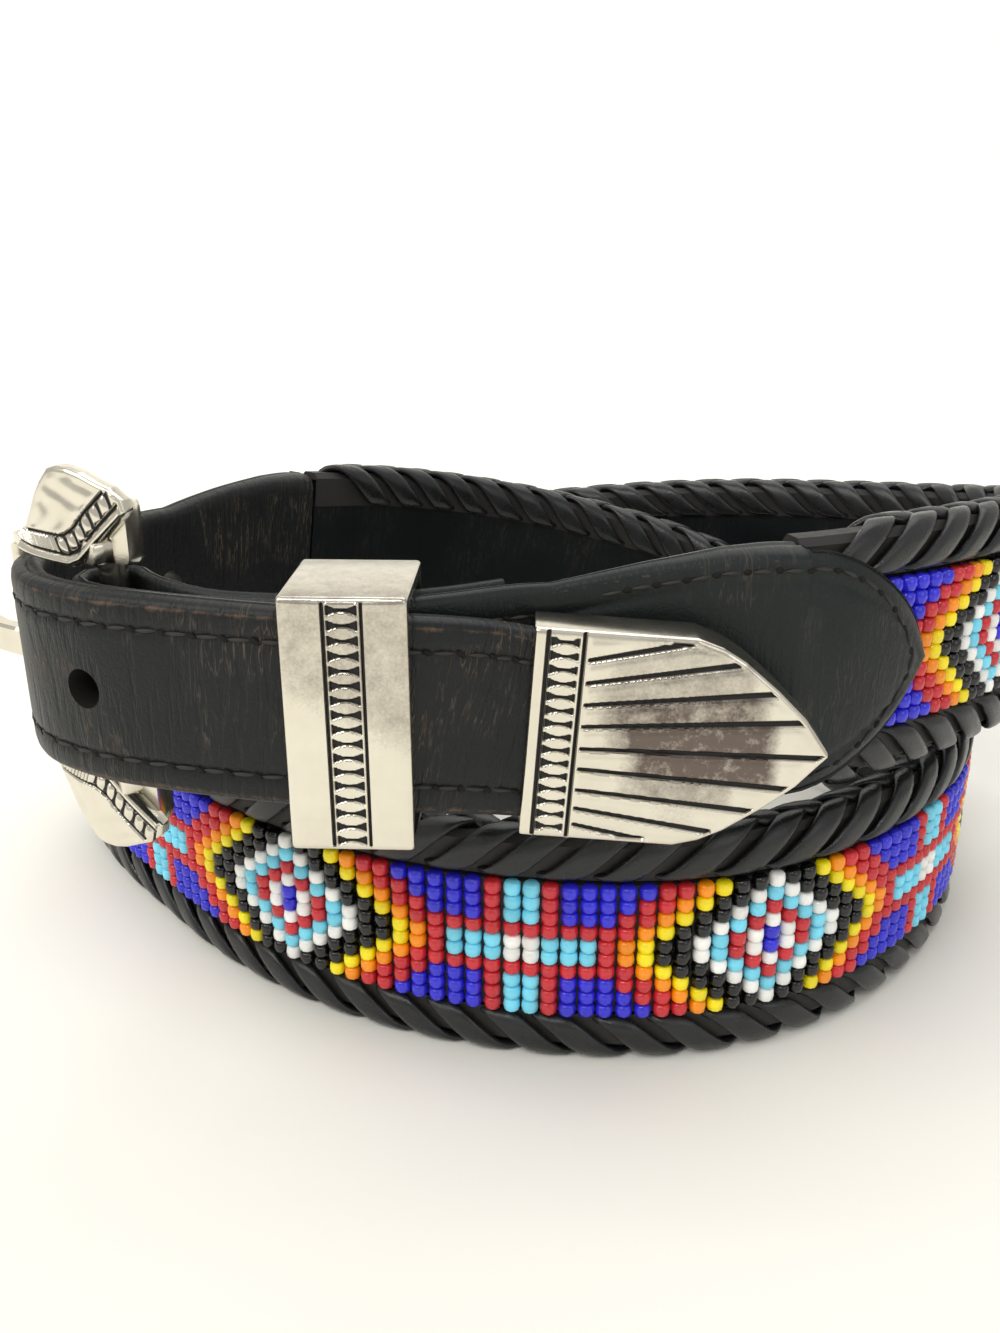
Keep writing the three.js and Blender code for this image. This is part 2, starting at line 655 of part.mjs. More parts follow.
const cap_chain = oval_chain(cap_at, 1.5, 6, -cap_height / 2 + 0.9, cap_height / 2 - 0.9, 14, cap_face);
cap = cap.subtract(cap_chain.sunk);
for (const oval of cap_chain.ovals) {
  cap = cap.add(oval);
}

// Rays of the cap, from the strip of ovals to the curved edge
const ray_start = 6.9;
const ray_table = [
  { start_up: 10.4, end_along: 21, end_up: 14 }, { start_up: 7.4, end_along: 27.3, end_up: 11.6 },
  { start_up: 4.5, end_along: 32, end_up: 8 }, { start_up: 1.6, end_along: 35.9, end_up: 4.4 },
  { start_up: -1.4, end_along: 38.6, end_up: -0.3 }, { start_up: -4.2, end_along: 35.2, end_up: -5 },
  { start_up: -7.1, end_along: 31.4, end_up: -8.5 }, { start_up: -9.7, end_along: 26.7, end_up: -12 },
  { start_up: -12, end_along: 18.8, end_up: -14 },
];
for (const ray of ray_table) {
  const way = new THREE.Vector2(ray.end_along - ray_start, ray.end_up - ray.start_up).normalize();
  const groove = [
    [ray_start, ray.start_up, -0.2], [ray.end_along, ray.end_up, -0.4],
    [ray.end_along, ray.end_up, 0.4], [ray_start, ray.start_up, 0.2],
  ].map(([x, y, w]) => new THREE.Vector2(x - way.y * w, y + way.x * w));
  const g = new THREE.ExtrudeGeometry(new THREE.Shape(groove), { depth: 2, bevelEnabled: false });
  g.translate(0, 0, cap_face - relief);
  cap = cap.subtract(to_solid(set_in(cap_at, g)));
}

// Pieces
const leather = { color: 0x2b2d2c, roughness: 0.55, metalness: 0 };
const lace = { color: 0x1c1e1e, roughness: 0.45, metalness: 0 };
const silver = { color: 0xb9b3a6, roughness: 0.28, metalness: 1 };
const pieces = [
  ['backing_strap', backing, leather],
  ['bead_panel', beads, { color: 0x3a3f8f, roughness: 0.3, metalness: 0 }],
  ['lacing_top', lacing_top, lace],
  ['lacing_bottom', lacing_bottom, lace],
  ['buckle_billet', to_geometry(inner_billet_solid), leather],
  ['tip_billet', to_geometry(strap_solid), leather],
  ['buckle_plate', to_geometry(buckle), silver],
  ['buckle_prong', to_geometry(prong), silver],
  ['keeper_loop', to_geometry(keeper), silver],
  ['tip_cap', to_geometry(cap), silver],
];
const belt = new THREE.Group();
belt.name = 'beaded_belt';
for (const [name, geometry, look] of pieces) {
  const mesh = new THREE.Mesh(geometry, new THREE.MeshStandardMaterial(look));
  mesh.name = name;
  belt.add(mesh);
}
export default belt;
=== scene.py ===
# Beaded belt with laced edges, fastened and standing in two turns on a pale floor.
# Sizes in the tables are millimetres; meshes are made in metres.
import math
import random
import bpy
import bmesh
import numpy as np
from mathutils import Matrix, Vector


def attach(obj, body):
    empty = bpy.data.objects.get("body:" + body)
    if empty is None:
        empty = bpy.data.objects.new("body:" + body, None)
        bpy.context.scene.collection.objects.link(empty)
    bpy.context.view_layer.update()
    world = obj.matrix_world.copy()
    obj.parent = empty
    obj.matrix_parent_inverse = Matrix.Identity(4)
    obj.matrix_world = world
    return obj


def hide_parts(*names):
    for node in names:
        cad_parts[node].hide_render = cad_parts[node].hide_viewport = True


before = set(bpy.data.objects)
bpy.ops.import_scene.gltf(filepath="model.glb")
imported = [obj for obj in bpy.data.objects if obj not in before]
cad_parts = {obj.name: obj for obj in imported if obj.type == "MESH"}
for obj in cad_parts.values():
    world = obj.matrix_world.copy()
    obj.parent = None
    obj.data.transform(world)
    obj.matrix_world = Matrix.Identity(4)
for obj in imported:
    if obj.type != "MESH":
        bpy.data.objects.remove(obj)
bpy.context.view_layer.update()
MM = 0.001
rng = random.Random(11)

# Camera at the photograph's angle
camera_data = bpy.data.cameras.new("camera")
camera_data.lens = 31.06
camera_data.sensor_width = 36
camera_data.clip_start = 0.01
camera = bpy.data.objects.new("camera", camera_data)
camera.location = (-0.0087, -0.19498, 0.11667)
camera.rotation_euler = (math.radians(69), 0, 0)
bpy.context.scene.collection.objects.link(camera)
bpy.context.scene.camera = camera

# Middle line of the belt from the fold behind the keeper to the tip, in shares of the coil and the body
coil_width = 180
coil_depth = 140
centre_x = 4.7
centre_y = -1.02
body_width = 38.4
fold_back = [
    (-0.0183, -0.3941, 1.6146), (-0.0600, -0.4205, 1.6146), (-0.1044, -0.4369, 1.6146),
    (-0.1572, -0.4426, 1.6146), (-0.2200, -0.4298, 1.6146), (-0.2639, -0.3941, 1.6198),
    (-0.2894, -0.3591, 1.6250), (-0.3128, -0.3698, 1.6276), (-0.3200, -0.3962, 1.6276),
    (-0.3061, -0.4176, 1.6250),
]
inner_billet = [
    (-0.2667, -0.4376, 1.6198), (-0.2072, -0.4562, 1.6172), (-0.1461, -0.4641, 1.6172),
    (-0.0989, -0.4598, 1.6172), (-0.0572, -0.4419, 1.6172), (-0.0100, -0.4141, 1.6146),
    (0.0428, -0.4034, 1.6120), (0.1067, -0.3898, 1.6068),
]
upper_turn = [
    (0.1926, -0.3619, 1.6007), (0.2741, -0.3124, 1.5938), (0.3481, -0.2419, 1.5694),
    (0.4222, -0.1543, 1.5347), (0.4889, -0.0524, 1.4722), (0.5244, 0.0762, 1.3750),
    (0.4948, 0.2190, 1.2778), (0.4037, 0.3381, 1.2083), (0.2815, 0.4190, 1.1597),
    (0.1407, 0.4667, 1.0972), (0.0000, 0.4810, 1.0139), (-0.1333, 0.4619, 0.8958),
    (-0.2667, 0.4124, 0.7431), (-0.3852, 0.3333, 0.5833),
]
lower_turn = [
    (-0.4593, 0.2333, 0.5035), (-0.4689, 0.1190, 0.5000), (-0.4193, 0.0029, 0.5000),
    (-0.3459, -0.1076, 0.5000), (-0.2667, -0.2133, 0.5000), (-0.1741, -0.2990, 0.5000),
    (-0.0704, -0.3562, 0.5000), (0.0407, -0.3829, 0.5000), (0.1481, -0.3752, 0.5000),
    (0.2481, -0.3257, 0.5000), (0.3333, -0.2400, 0.5000), (0.3985, -0.1333, 0.5000),
    (0.4356, -0.0095, 0.5000), (0.4267, 0.1000, 0.5069),
]
rising_turn = [
    (0.3741, 0.2000, 0.6042), (0.2889, 0.2810, 0.7812), (0.1778, 0.3410, 0.9653),
    (0.0593, 0.3552, 1.1111), (-0.0519, 0.3171, 1.2431), (-0.1519, 0.2238, 1.3715),
    (-0.2333, 0.1048, 1.4687), (-0.3000, -0.0095, 1.5486), (-0.3481, -0.1210, 1.5903),
]
tip_strap = [
    (-0.3594, -0.2062, 1.6042), (-0.3700, -0.2812, 1.6198), (-0.3717, -0.3419, 1.6354),
    (-0.3461, -0.4076, 1.6458), (-0.3006, -0.4512, 1.6510), (-0.2517, -0.4734, 1.6510),
    (-0.2017, -0.4862, 1.6432), (-0.1539, -0.4919, 1.6302), (-0.1044, -0.4919, 1.6094),
    (-0.0600, -0.4762, 1.5755), (-0.0211, -0.4548, 1.5260), (0.0206, -0.4498, 1.4948),
    (0.0706, -0.4512, 1.4778), (0.1372, -0.4541, 1.4596), (0.2094, -0.4569, 1.4401),
]
rows = fold_back + inner_billet + upper_turn + lower_turn + rising_turn + tip_strap

# Sizes of the parts
bead_rows = 10
bead_row_pitch = 2.2
billet_width = 25.4
inner_thickness = 2.6
loop_thickness = 2.0      # thinned part folded round the bar
loop_end = 68
strap_thickness = 4.2
tab_length = 20
hole_diameter = 5.2
hole_pitch = 19.05
hole_count = 4
metal_wall = 1.3
keeper_width = 15
keeper_height = 32.4
cap_length = 37.3
cap_height = 28.2
cap_cover = 26
cap_wall = 1.0
cap_play = 0.5
cap_edge = 0.6
cap_strip = (1.75, 5.9)   # the strip of ovals along the cap
body_start = 158.4
body_end = 863.4
body_distances = np.arange(body_start, body_end + 0.1, 3.0)
first_hole = 954.5
keeper_place = 987.9
cap_place = 1010.5
backing_out = 1.1
backing_in = -1.9
tab_in = 4.2
tab_out = 6.0
neck_start = -32          # where the padded neck of an end begins, before the body's end
stitch_lane = 8.7         # height of the sewn lines on the narrow straps


# Place and directions along the belt
def line_through(points, per_row=100):
    p = np.array(points, float) * [coil_width, coil_depth, body_width] - [centre_x, centre_y, 0]
    p = np.vstack([2 * p[0] - p[1], p, 2 * p[-1] - p[-2]])
    out = []
    w = np.arange(per_row)[:, None] / per_row
    for i in range(1, len(p) - 2):
        a, b, c, d = p[i - 1], p[i], p[i + 1], p[i + 2]
        m0, m1 = (c - a) / 2, (d - b) / 2
        out.append(b + m0 * w + (-3 * b + 3 * c - 2 * m0 - m1) * w**2 + (2 * b - 2 * c + m0 + m1) * w**3)
    out.append(p[-2][None, :])
    q = np.vstack(out)
    q[:, 2] = np.maximum(q[:, 2], body_width / 2)
    return q


def distance_run(points):
    """Distance of every point from the first one, along the points."""
    return np.concatenate([[0], np.cumsum(np.linalg.norm(np.diff(points, axis=0), axis=1))])


line = line_through(rows)
run = distance_run(line)
ahead = line[np.minimum(np.arange(len(line)) + 30, len(line) - 1)]
behind = line[np.maximum(np.arange(len(line)) - 30, 0)]
way = ahead - behind
way /= np.linalg.norm(way, axis=1)[:, None]
lift = np.array([0, 0, 1.0]) - way * way[:, 2:3]
lift /= np.linalg.norm(lift, axis=1)[:, None]
outward = np.cross(way, lift)


def at(s):
    """Middle point, travel, up and outward directions at distances s."""
    s = np.atleast_1d(np.asarray(s, float))
    parts = []
    for field in (line, way, lift, outward):
        parts.append(np.stack([np.interp(s, run, field[:, k]) for k in range(3)], axis=1))
    return parts


def spot(s, out, up):
    """Points at distances s, out from the middle line and up across the belt."""
    p, t, u, n = at(s)
    return p + n * np.reshape(out, (-1, 1)) + u * np.reshape(up, (-1, 1))


# Mesh from points in millimetres
def solid(name, points, faces, material, values=None, uv=None):
    """values: named numbers for every point, read by the materials; uv: the strap's own map."""
    mesh = bpy.data.meshes.new(name)
    mesh.from_pydata((np.asarray(points, float) * MM).tolist(), [], faces)
    mesh.shade_smooth()
    for key, list_of_values in (values or {}).items():
        layer = mesh.attributes.new(key, "FLOAT", "POINT")
        layer.data.foreach_set("value", np.asarray(list_of_values, np.float32))
    if uv is not None:
        layer = mesh.uv_layers.new(name="strap")
        corner = np.zeros(len(mesh.loops), np.int32)
        mesh.loops.foreach_get("vertex_index", corner)
        layer.data.foreach_set("uv", np.asarray(uv, np.float32)[corner].ravel())
    mesh.validate()
    piece = bpy.data.objects.new(name, mesh)
    bpy.context.scene.collection.objects.link(piece)
    mesh.materials.append(material)
    return piece


def rings_to_faces(rings, count):
    """Quads between equal closed rings; the ends are closed with one face each."""
    faces = []
    for i in range(rings - 1):
        for j in range(count):
            k = (j + 1) % count
            faces.append((i * count + j, i * count + k, (i + 1) * count + k, (i + 1) * count + j)[::-1])
    faces.append(tuple(range(count)))
    last = (rings - 1) * count
    faces.append(tuple(range(last + count - 1, last - 1, -1)))
    return faces


def round_rows(levels, sides, point, turn=0.0):
    """Rows of points round a shape, one row for each level, and the faces between them."""
    angles = [2 * math.pi * (i + turn) / sides for i in range(sides)]
    points = [point(level, math.cos(a), math.sin(a)) for level in levels for a in angles]
    return points, rings_to_faces(len(levels), sides)


def shifted(faces, base):
    return [tuple(v + base for v in f) for f in faces]


def facing_out(piece):
    """Welds the mesh and turns its faces outwards."""
    b = bmesh.new()
    b.from_mesh(piece.data)
    bmesh.ops.remove_doubles(b, verts=b.verts, dist=1e-7)
    bmesh.ops.recalc_face_normals(b, faces=b.faces)
    b.to_mesh(piece.data)
    b.free()
    return piece


def cut(piece, tools):
    """Takes the tool solids away from the piece."""
    for tool in tools:
        step = piece.modifiers.new("cut", "BOOLEAN")
        step.operation = "DIFFERENCE"
        step.solver = "EXACT"
        step.object = tool
    graph = bpy.context.evaluated_depsgraph_get()
    graph.update()
    mesh = bpy.data.meshes.new_from_object(piece.evaluated_get(graph))
    piece.modifiers.clear()
    old = piece.data
    piece.data = mesh
    mesh.name = old.name
    bpy.data.meshes.remove(old)
    for tool in tools:
        bpy.data.objects.remove(tool)
    return piece


def finish(piece, material_slot, *nodes):
    """Hands the piece to the belt's body, in place of the named CAD nodes."""
    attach(piece, "root")
    if nodes:
        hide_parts(*nodes)
    return piece


def smooth_angle(piece, degrees):
    piece.data.shade_smooth()
    piece.data.set_sharp_from_angle(angle=math.radians(degrees))
    return piece


# Shader helpers
def node_group(name, inputs, outputs):
    group = bpy.data.node_groups.new(name, "ShaderNodeTree")
    for label, kind, value in inputs:
        socket = group.interface.new_socket(name=label, in_out="INPUT", socket_type=kind)
        if value is not None:
            socket.default_value = value
    for label, kind in outputs:
        group.interface.new_socket(name=label, in_out="OUTPUT", socket_type=kind)
    return group, group.nodes.new("NodeGroupInput"), group.nodes.new("NodeGroupOutput")


def add(tree, kind, links=None, **fields):
    made = tree.nodes.new(kind)
    for key, value in fields.items():
        if key in made.inputs:
            made.inputs[key].default_value = value
        else:
            setattr(made, key, value)
    for key, source in (links or {}).items():
        tree.links.new(source, made.inputs[key])
    return made


def value_at(tree, a, operation, b):
    made = tree.nodes.new("ShaderNodeMath")
    made.operation = operation
    for i, v in enumerate((a, b)):
        if isinstance(v, (int, float)):
            made.inputs[i].default_value = v
        else:
            tree.links.new(v, made.inputs[i])
    return made.outputs[0]


def scaled(tree, a, times, plus):
    return value_at(tree, value_at(tree, a, "MULTIPLY", times), "ADD", plus)


def blend_colours(tree, factor, a, b):
    made = tree.nodes.new("ShaderNodeMix")
    made.data_type = "RGBA"
    for i, v in ((0, factor), (6, a), (7, b)):
        if isinstance(v, (int, float)):
            made.inputs[i].default_value = v
        elif isinstance(v, tuple):
            made.inputs[i].default_value = (*v, 1)
        else:
            tree.links.new(v, made.inputs[i])
    return made.outputs[2]


def ramp(tree, source, low, high):
    made = tree.nodes.new("ShaderNodeMapRange")
    made.inputs["From Min"].default_value = low
    made.inputs["From Max"].default_value = high
    tree.links.new(source, made.inputs["Value"])
    return made.outputs["Result"]


def noise(tree, source, scale, detail, rough=0.5):
    made = add(tree, "ShaderNodeTexNoise", {"Vector": source}, Scale=scale, Detail=detail, Roughness=rough)
    return made.outputs["Fac"]


def grain_bump(tree, shader, height, strength, distance):
    relief = add(tree, "ShaderNodeBump", {"Height": height}, Strength=strength, Distance=distance)
    tree.links.new(relief.outputs["Normal"], shader.inputs["Normal"])


def new_material(name):
    """Material, its tree, its shader and the object's own coordinates."""
    material = bpy.data.materials.new(name)
    material.use_nodes = True
    tree = material.node_tree
    place = add(tree, "ShaderNodeTexCoord").outputs["Object"]
    return material, tree, tree.nodes["Principled BSDF"], place


# Grain, creases and worn edges of the leather, read from the strap's own map
def make_hide_group():
    inputs = [("Creases", "NodeSocketFloat", 1.0), ("Wear", "NodeSocketFloat", 0.0)]
    inputs.append(("Vector", "NodeSocketVector", None))
    outputs = [(label, "NodeSocketFloat") for label in ("Height", "Worn", "Cloud", "Crack")]
    group, gin, gout = node_group("hide", inputs, outputs)
    place, creases = gin.outputs["Vector"], gin.outputs["Creases"]
    grain = noise(group, place, 1500.0, 4.0, 0.6)
    cells = add(group, "ShaderNodeTexVoronoi", {"Vector": place}, Scale=1000.0, feature="DISTANCE_TO_EDGE")
    cell_line = ramp(group, cells.outputs["Distance"], 0.0, 0.12)
    stretch = add(group, "ShaderNodeMapping", {"Vector": place}, Scale=(820.0, 90.0, 90.0))
    crease = noise(group, stretch.outputs["Vector"], 1.0, 3.0, 0.55)
    deep = ramp(group, crease, 0.36, 0.5)
    off_line = value_at(group, value_at(group, crease, "SUBTRACT", 0.5), "ABSOLUTE", 0.0)
    thin_line = ramp(group, off_line, 0.022, 0.004)
    crease_height = value_at(group, deep, "MULTIPLY", creases)
    fine = value_at(group, grain, "MULTIPLY", 0.30)
    pebbled = value_at(group, fine, "ADD", value_at(group, cell_line, "MULTIPLY", 0.16))
    creased = value_at(group, pebbled, "ADD", value_at(group, crease_height, "MULTIPLY", 0.7))
    cloud = noise(group, place, 70.0, 4.0, 0.6)
    rub = noise(group, place, 420.0, 6.0, 0.75)
    mixed = value_at(group, value_at(group, rub, "ADD", gin.outputs["Wear"]), "SUBTRACT", 1.0)
    worn = ramp(group, mixed, 0.40, 0.60)
    patch = ramp(group, cloud, 0.48, 0.62)
    crack = value_at(group, value_at(group, thin_line, "MULTIPLY", patch), "MULTIPLY", creases)
    height = value_at(group, creased, "SUBTRACT", value_at(group, crack, "MULTIPLY", 0.8))
    made = {"Height": height, "Worn": worn, "Cloud": cloud, "Crack": crack}
    for label, source in made.items():
        group.links.new(source, gout.inputs[label])
    return group


hide = make_hide_group()


def leather(name, dark, light, rough, creases, bump):
    """Black leather from dark to light in clouds, with brown cracks and rubbed brown edges."""
    material, tree, shader, _ = new_material(name)
    place = add(tree, "ShaderNodeUVMap", uv_map="strap")
    wear = add(tree, "ShaderNodeAttribute", attribute_name="wear")
    surface = tree.nodes.new("ShaderNodeGroup")
    surface.node_tree = hide
    surface.inputs["Creases"].default_value = creases
    tree.links.new(place.outputs["UV"], surface.inputs["Vector"])
    tree.links.new(wear.outputs["Fac"], surface.inputs["Wear"])
    base = blend_colours(tree, surface.outputs["Cloud"], dark, light)
    cracks = value_at(tree, surface.outputs["Crack"], "MULTIPLY", 0.75)
    cracked = blend_colours(tree, cracks, base, crack_brown)
    colour = blend_colours(tree, surface.outputs["Worn"], cracked, worn_brown)
    tree.links.new(colour, shader.inputs["Base Color"])
    gloss = scaled(tree, surface.outputs["Cloud"], 0.16, rough - 0.08)
    rubbed = value_at(tree, value_at(tree, surface.outputs["Worn"], "MULTIPLY", 0.25), "ADD", gloss)
    tree.links.new(rubbed, shader.inputs["Roughness"])
    grain_bump(tree, shader, surface.outputs["Height"], bump, 0.00025)
    shader.inputs["Specular IOR Level"].default_value = 0.27
    return material


crack_brown = (0.115, 0.085, 0.062)
worn_brown = (0.115, 0.072, 0.048)
strap_leather = leather("strap_leather", (0.003, 0.0042, 0.0042), (0.0135, 0.016, 0.0158), 0.42, 1.0, 0.6)
tab_leather = leather("tab_leather", (0.0045, 0.0066, 0.0068), (0.015, 0.0195, 0.020), 0.40, 0.35, 0.5)
lining_leather = leather("lining_leather", (0.003, 0.0042, 0.005), (0.007, 0.009, 0.0105), 0.42, 0.25, 0.25)


def make_lace_material():
    material, tree, shader, place = new_material("braiding_lace")
    cloud = noise(tree, place, 220.0, 3.0)
    grain = noise(tree, place, 3200.0, 3.0)
    colour = blend_colours(tree, cloud, (0.006, 0.007, 0.0072), (0.020, 0.022, 0.0225))
    tree.links.new(colour, shader.inputs["Base Color"])
    tree.links.new(ramp(tree, cloud, -0.1, 1.9), shader.inputs["Roughness"])
    shader.inputs["Specular IOR Level"].default_value = 0.42
    grain_bump(tree, shader, grain, 0.22, 0.0002)
    return material


def make_bead_material():
    material, tree, shader, place = new_material("seed_bead_glass")
    colour = add(tree, "ShaderNodeAttribute", attribute_name="bead_colour")
    cloud = noise(tree, place, 900.0, 2.0)
    shade = scaled(tree, cloud, 0.22, 0.89)
    made = add(tree, "ShaderNodeVectorMath", {0: colour.outputs["Color"]}, operation="SCALE")
    tree.links.new(shade, made.inputs["Scale"])
    tree.links.new(made.outputs["Vector"], shader.inputs["Base Color"])
    shader.inputs["Roughness"].default_value = 0.13
    shader.inputs["IOR"].default_value = 1.55
    return material


def make_silver_material():
    """Silver plate: sunk ornament is black, and a painted reflection darkens it to brown with a ragged edge.
    """
    material, tree, shader, place = new_material("old_silver_plate")
    sunk = add(tree, "ShaderNodeAttribute", attribute_name="sunk")
    cloud = noise(tree, place, 160.0, 6.0, 0.65)
    speck = noise(tree, place, 2600.0, 4.0, 0.7)
    # Painted reflection, read from an attribute, darkens the silver to a dark brown, broken up by spots
    film = add(tree, "ShaderNodeAttribute", attribute_name="film")
    silver_tone = blend_colours(tree, cloud, (0.62, 0.575, 0.475), (0.84, 0.80, 0.70))
    spots = noise(tree, place, 520.0, 5.0, 0.7)
    patch = value_at(tree, film.outputs["Fac"], "MULTIPLY", scaled(tree, spots, 1.7, 0.08))
    rough_edge = value_at(tree, value_at(tree, speck, "MULTIPLY", 0.5), "ADD", patch)
    base = blend_colours(tree, ramp(tree, rough_edge, 0.35, 1.15), silver_tone, (0.15, 0.12, 0.105))
    black = ramp(tree, sunk.outputs["Fac"], 0.25, 0.6)
    colour = blend_colours(tree, black, base, (0.006, 0.0055, 0.005))
    tree.links.new(colour, shader.inputs["Base Color"])
    tree.links.new(value_at(tree, 1.0, "SUBTRACT", black), shader.inputs["Metallic"])
    gloss = scaled(tree, cloud, 0.16, 0.13)
    dulled = value_at(tree, value_at(tree, black, "MULTIPLY", 0.4), "ADD", gloss)
    tree.links.new(dulled, shader.inputs["Roughness"])
    grain_bump(tree, shader, speck, 0.10, 0.0001)
    return material


def make_thread_material():
    material, tree, shader, place = new_material("waxed_thread")
    fuzz = noise(tree, place, 1500.0, 3.0)
    colour = blend_colours(tree, fuzz, (0.006, 0.006, 0.006), (0.028, 0.024, 0.020))
    tree.links.new(colour, shader.inputs["Base Color"])
    tree.links.new(ramp(tree, fuzz, -0.9, 1.3), shader.inputs["Roughness"])
    return material


lace_leather = make_lace_material()
bead_glass = make_bead_material()
silver = make_silver_material()
thread = make_thread_material()
# Matte dark leather for the slits: painted shade in the pricked stitch holes
pricked_dark = leather("pricked_dark", (0.004, 0.004, 0.004), (0.012, 0.008, 0.006), 0.8, 0.0, 0.2)


# Geometry Nodes tree that sets a shape on every point of a chart
def make_setting_tree():
    tree = bpy.data.node_groups.new("set_on_points", "GeometryNodeTree")
    face = tree.interface
    for label, kind in (
        ("Points", "Geometry"), ("Shape", "Object"), ("Tilt", "Float"),
        ("Vary", "Float"), ("Seed", "Int"), ("Finish", "Material"),
    ):
        face.new_socket(name=label, in_out="INPUT", socket_type="NodeSocket" + kind)
    face.new_socket(name="Geometry", in_out="OUTPUT", socket_type="NodeSocketGeometry")
    gin, gout = tree.nodes.new("NodeGroupInput").outputs, tree.nodes.new("NodeGroupOutput")
    shape = add(tree, "GeometryNodeObjectInfo", {"Object": gin["Shape"]})
    turn = add(tree, "GeometryNodeInputNamedAttribute", data_type="FLOAT_VECTOR", Name="turn")
    shake = add(tree, "FunctionNodeRandomValue", {"Seed": gin["Seed"]}, data_type="FLOAT_VECTOR")
    shake.inputs[0].default_value = (-1, -1, -1)
    shake.inputs[1].default_value = (1, 1, 1)
    tilt = add(tree, "ShaderNodeVectorMath", {0: shake.outputs[0], "Scale": gin["Tilt"]}, operation="SCALE")
    turned = add(tree, "ShaderNodeVectorMath", {0: turn.outputs[0], 1: tilt.outputs[0]}, operation="ADD")
    size = add(tree, "ShaderNodeVectorMath", {0: shake.outputs[0], 1: gin["Vary"]}, operation="MULTIPLY_ADD")
    size.inputs[2].default_value = (1, 1, 1)
    put = add(tree, "GeometryNodeInstanceOnPoints", {
        "Points": gin["Points"], "Instance": shape.outputs["Geometry"],
        "Rotation": turned.outputs[0], "Scale": size.outputs[0],
    })
    real = add(tree, "GeometryNodeRealizeInstances", {"Geometry": put.outputs["Instances"]})
    coat = add(tree, "GeometryNodeSetMaterial", {
        "Geometry": real.outputs["Geometry"], "Material": gin["Finish"],
    })
    tree.links.new(coat.outputs["Geometry"], gout.inputs["Geometry"])
    return tree


setting_tree = make_setting_tree()


def belt_turns(s, lean=0.0):
    """Rotations that lay a shape's x along the belt, y across it and z outwards."""
    t, u, n = at(s)[1:]
    turns = []
    for i in range(len(t)):
        base = Matrix((t[i], u[i], n[i])).transposed()
        turns.append(tuple((base @ Matrix.Rotation(lean, 3, "Z")).to_euler()))
    return turns


def set_on(name, shape, points, turns, material, tilt, vary, seed, colours=None):
    """Sets the shape on the points, turned, and shaken by tilt and vary."""
    mesh = bpy.data.meshes.new(name + "_points")
    mesh.from_pydata((np.asarray(points) * MM).tolist(), [], [])
    layer = mesh.attributes.new("turn", "FLOAT_VECTOR", "POINT")
    layer.data.foreach_set("vector", np.asarray(turns, np.float32).ravel())
    if colours is not None:
        layer = mesh.attributes.new("bead_colour", "FLOAT_COLOR", "POINT")
        layer.data.foreach_set("color", np.asarray(colours, np.float32).ravel())
    piece = bpy.data.objects.new(name, mesh)
    bpy.context.scene.collection.objects.link(piece)
    step = piece.modifiers.new("set", "NODES")
    step.node_group = setting_tree
    values = {"Shape": shape, "Tilt": tilt, "Vary": vary, "Seed": seed, "Finish": material}
    for item in setting_tree.interface.items_tree:
        if item.in_out == "INPUT" and item.name in values:
            step[item.identifier] = values[item.name]
    piece.update_tag()
    graph = bpy.context.evaluated_depsgraph_get()
    graph.update()
    made = bpy.data.meshes.new_from_object(piece.evaluated_get(graph))
    piece.modifiers.clear()
    piece.data = made
    made.name = name
    for label in ("turn", "set"):
        if label in made.attributes:
            made.attributes.remove(made.attributes[label])
    bpy.data.meshes.remove(mesh)
    return piece


def pattern_shape(name, points, faces, sharp=None):
    """A small shape for the setting tree; it is deleted once it has been set."""
    piece = facing_out(solid(name, points, faces, thread))
    piece.data.materials.clear()
    return smooth_angle(piece, sharp) if sharp else piece


def drop(*pieces):
    for piece in pieces:
        bpy.data.objects.remove(piece)


# Bands swept along the belt
def sweep(name, distances, section, material, sharp=40):
    """section(s) gives rows of out, up and wear round the band."""
    points, wear, uv = [], [], []
    count = 0
    for s in distances:
        ring = np.array(section(s), float)
        count = len(ring)
        points.append(spot(np.full(count, s), ring[:, 0], ring[:, 1]))
        wear.extend(ring[:, 2])
        uv.extend(np.column_stack([np.full(count, s), ring[:, 1] + 0.6 * ring[:, 0]]) * MM)
    faces = rings_to_faces(len(points), count)
    piece = solid(name, np.vstack(points), faces, material, values={"wear": wear}, uv=uv)
    facing_out(piece)
    return smooth_angle(piece, sharp)


# Shares of a strap's half width, closer together at the sewn groove and the edge
across = [
    0, 0.2, 0.4, 0.55, 0.61, 0.645, 0.67, 0.685, 0.7, 0.725, 0.76, 0.81, 0.87, 0.92, 0.955, 0.98, 0.993,
]
across = [-v for v in across[:0:-1]] + across


def leather_section(inner, out, half, roundness, crown=0.0, groove=0.0, wear=1.0):
    """A strap's section with rounded edges, a crown and a sewn groove."""
    middle = (inner + out) / 2
    groove_up = half - 4.0
    front, back = [], []
    for v in across:
        fall = (1 - abs(v) ** roundness) ** 0.42
        up = half * v
        dip = groove * math.exp(-(((abs(up) - groove_up) / 0.65) ** 2))
        edge = wear * math.exp(-(((abs(v) - 0.91) / 0.075) ** 2))
        front.append((middle + (out - middle) * fall - crown * v * v - dip, up, edge))
        back.append((middle - (middle - inner) * fall, up, edge * 0.5))
    seam = min(0.3, half * 0.4)
    lip = (out - inner) * 0.09
    ends = [(middle + lip, half, 0.2), (middle, half - seam, 0.0), (middle - lip, half, 0.2)]
    return front + ends + back[::-1] + [(a, -b, c) for a, b, c in ends[::-1]]


# Backing under the beads, bare on the inside
def make_backing():
    section = leather_section(backing_in, backing_out, 16.2, 16, wear=0.15)
    piece = sweep("smooth_lining", body_distances, lambda s: section, lining_leather)
    return finish(piece, "black_leather", "backing_strap")


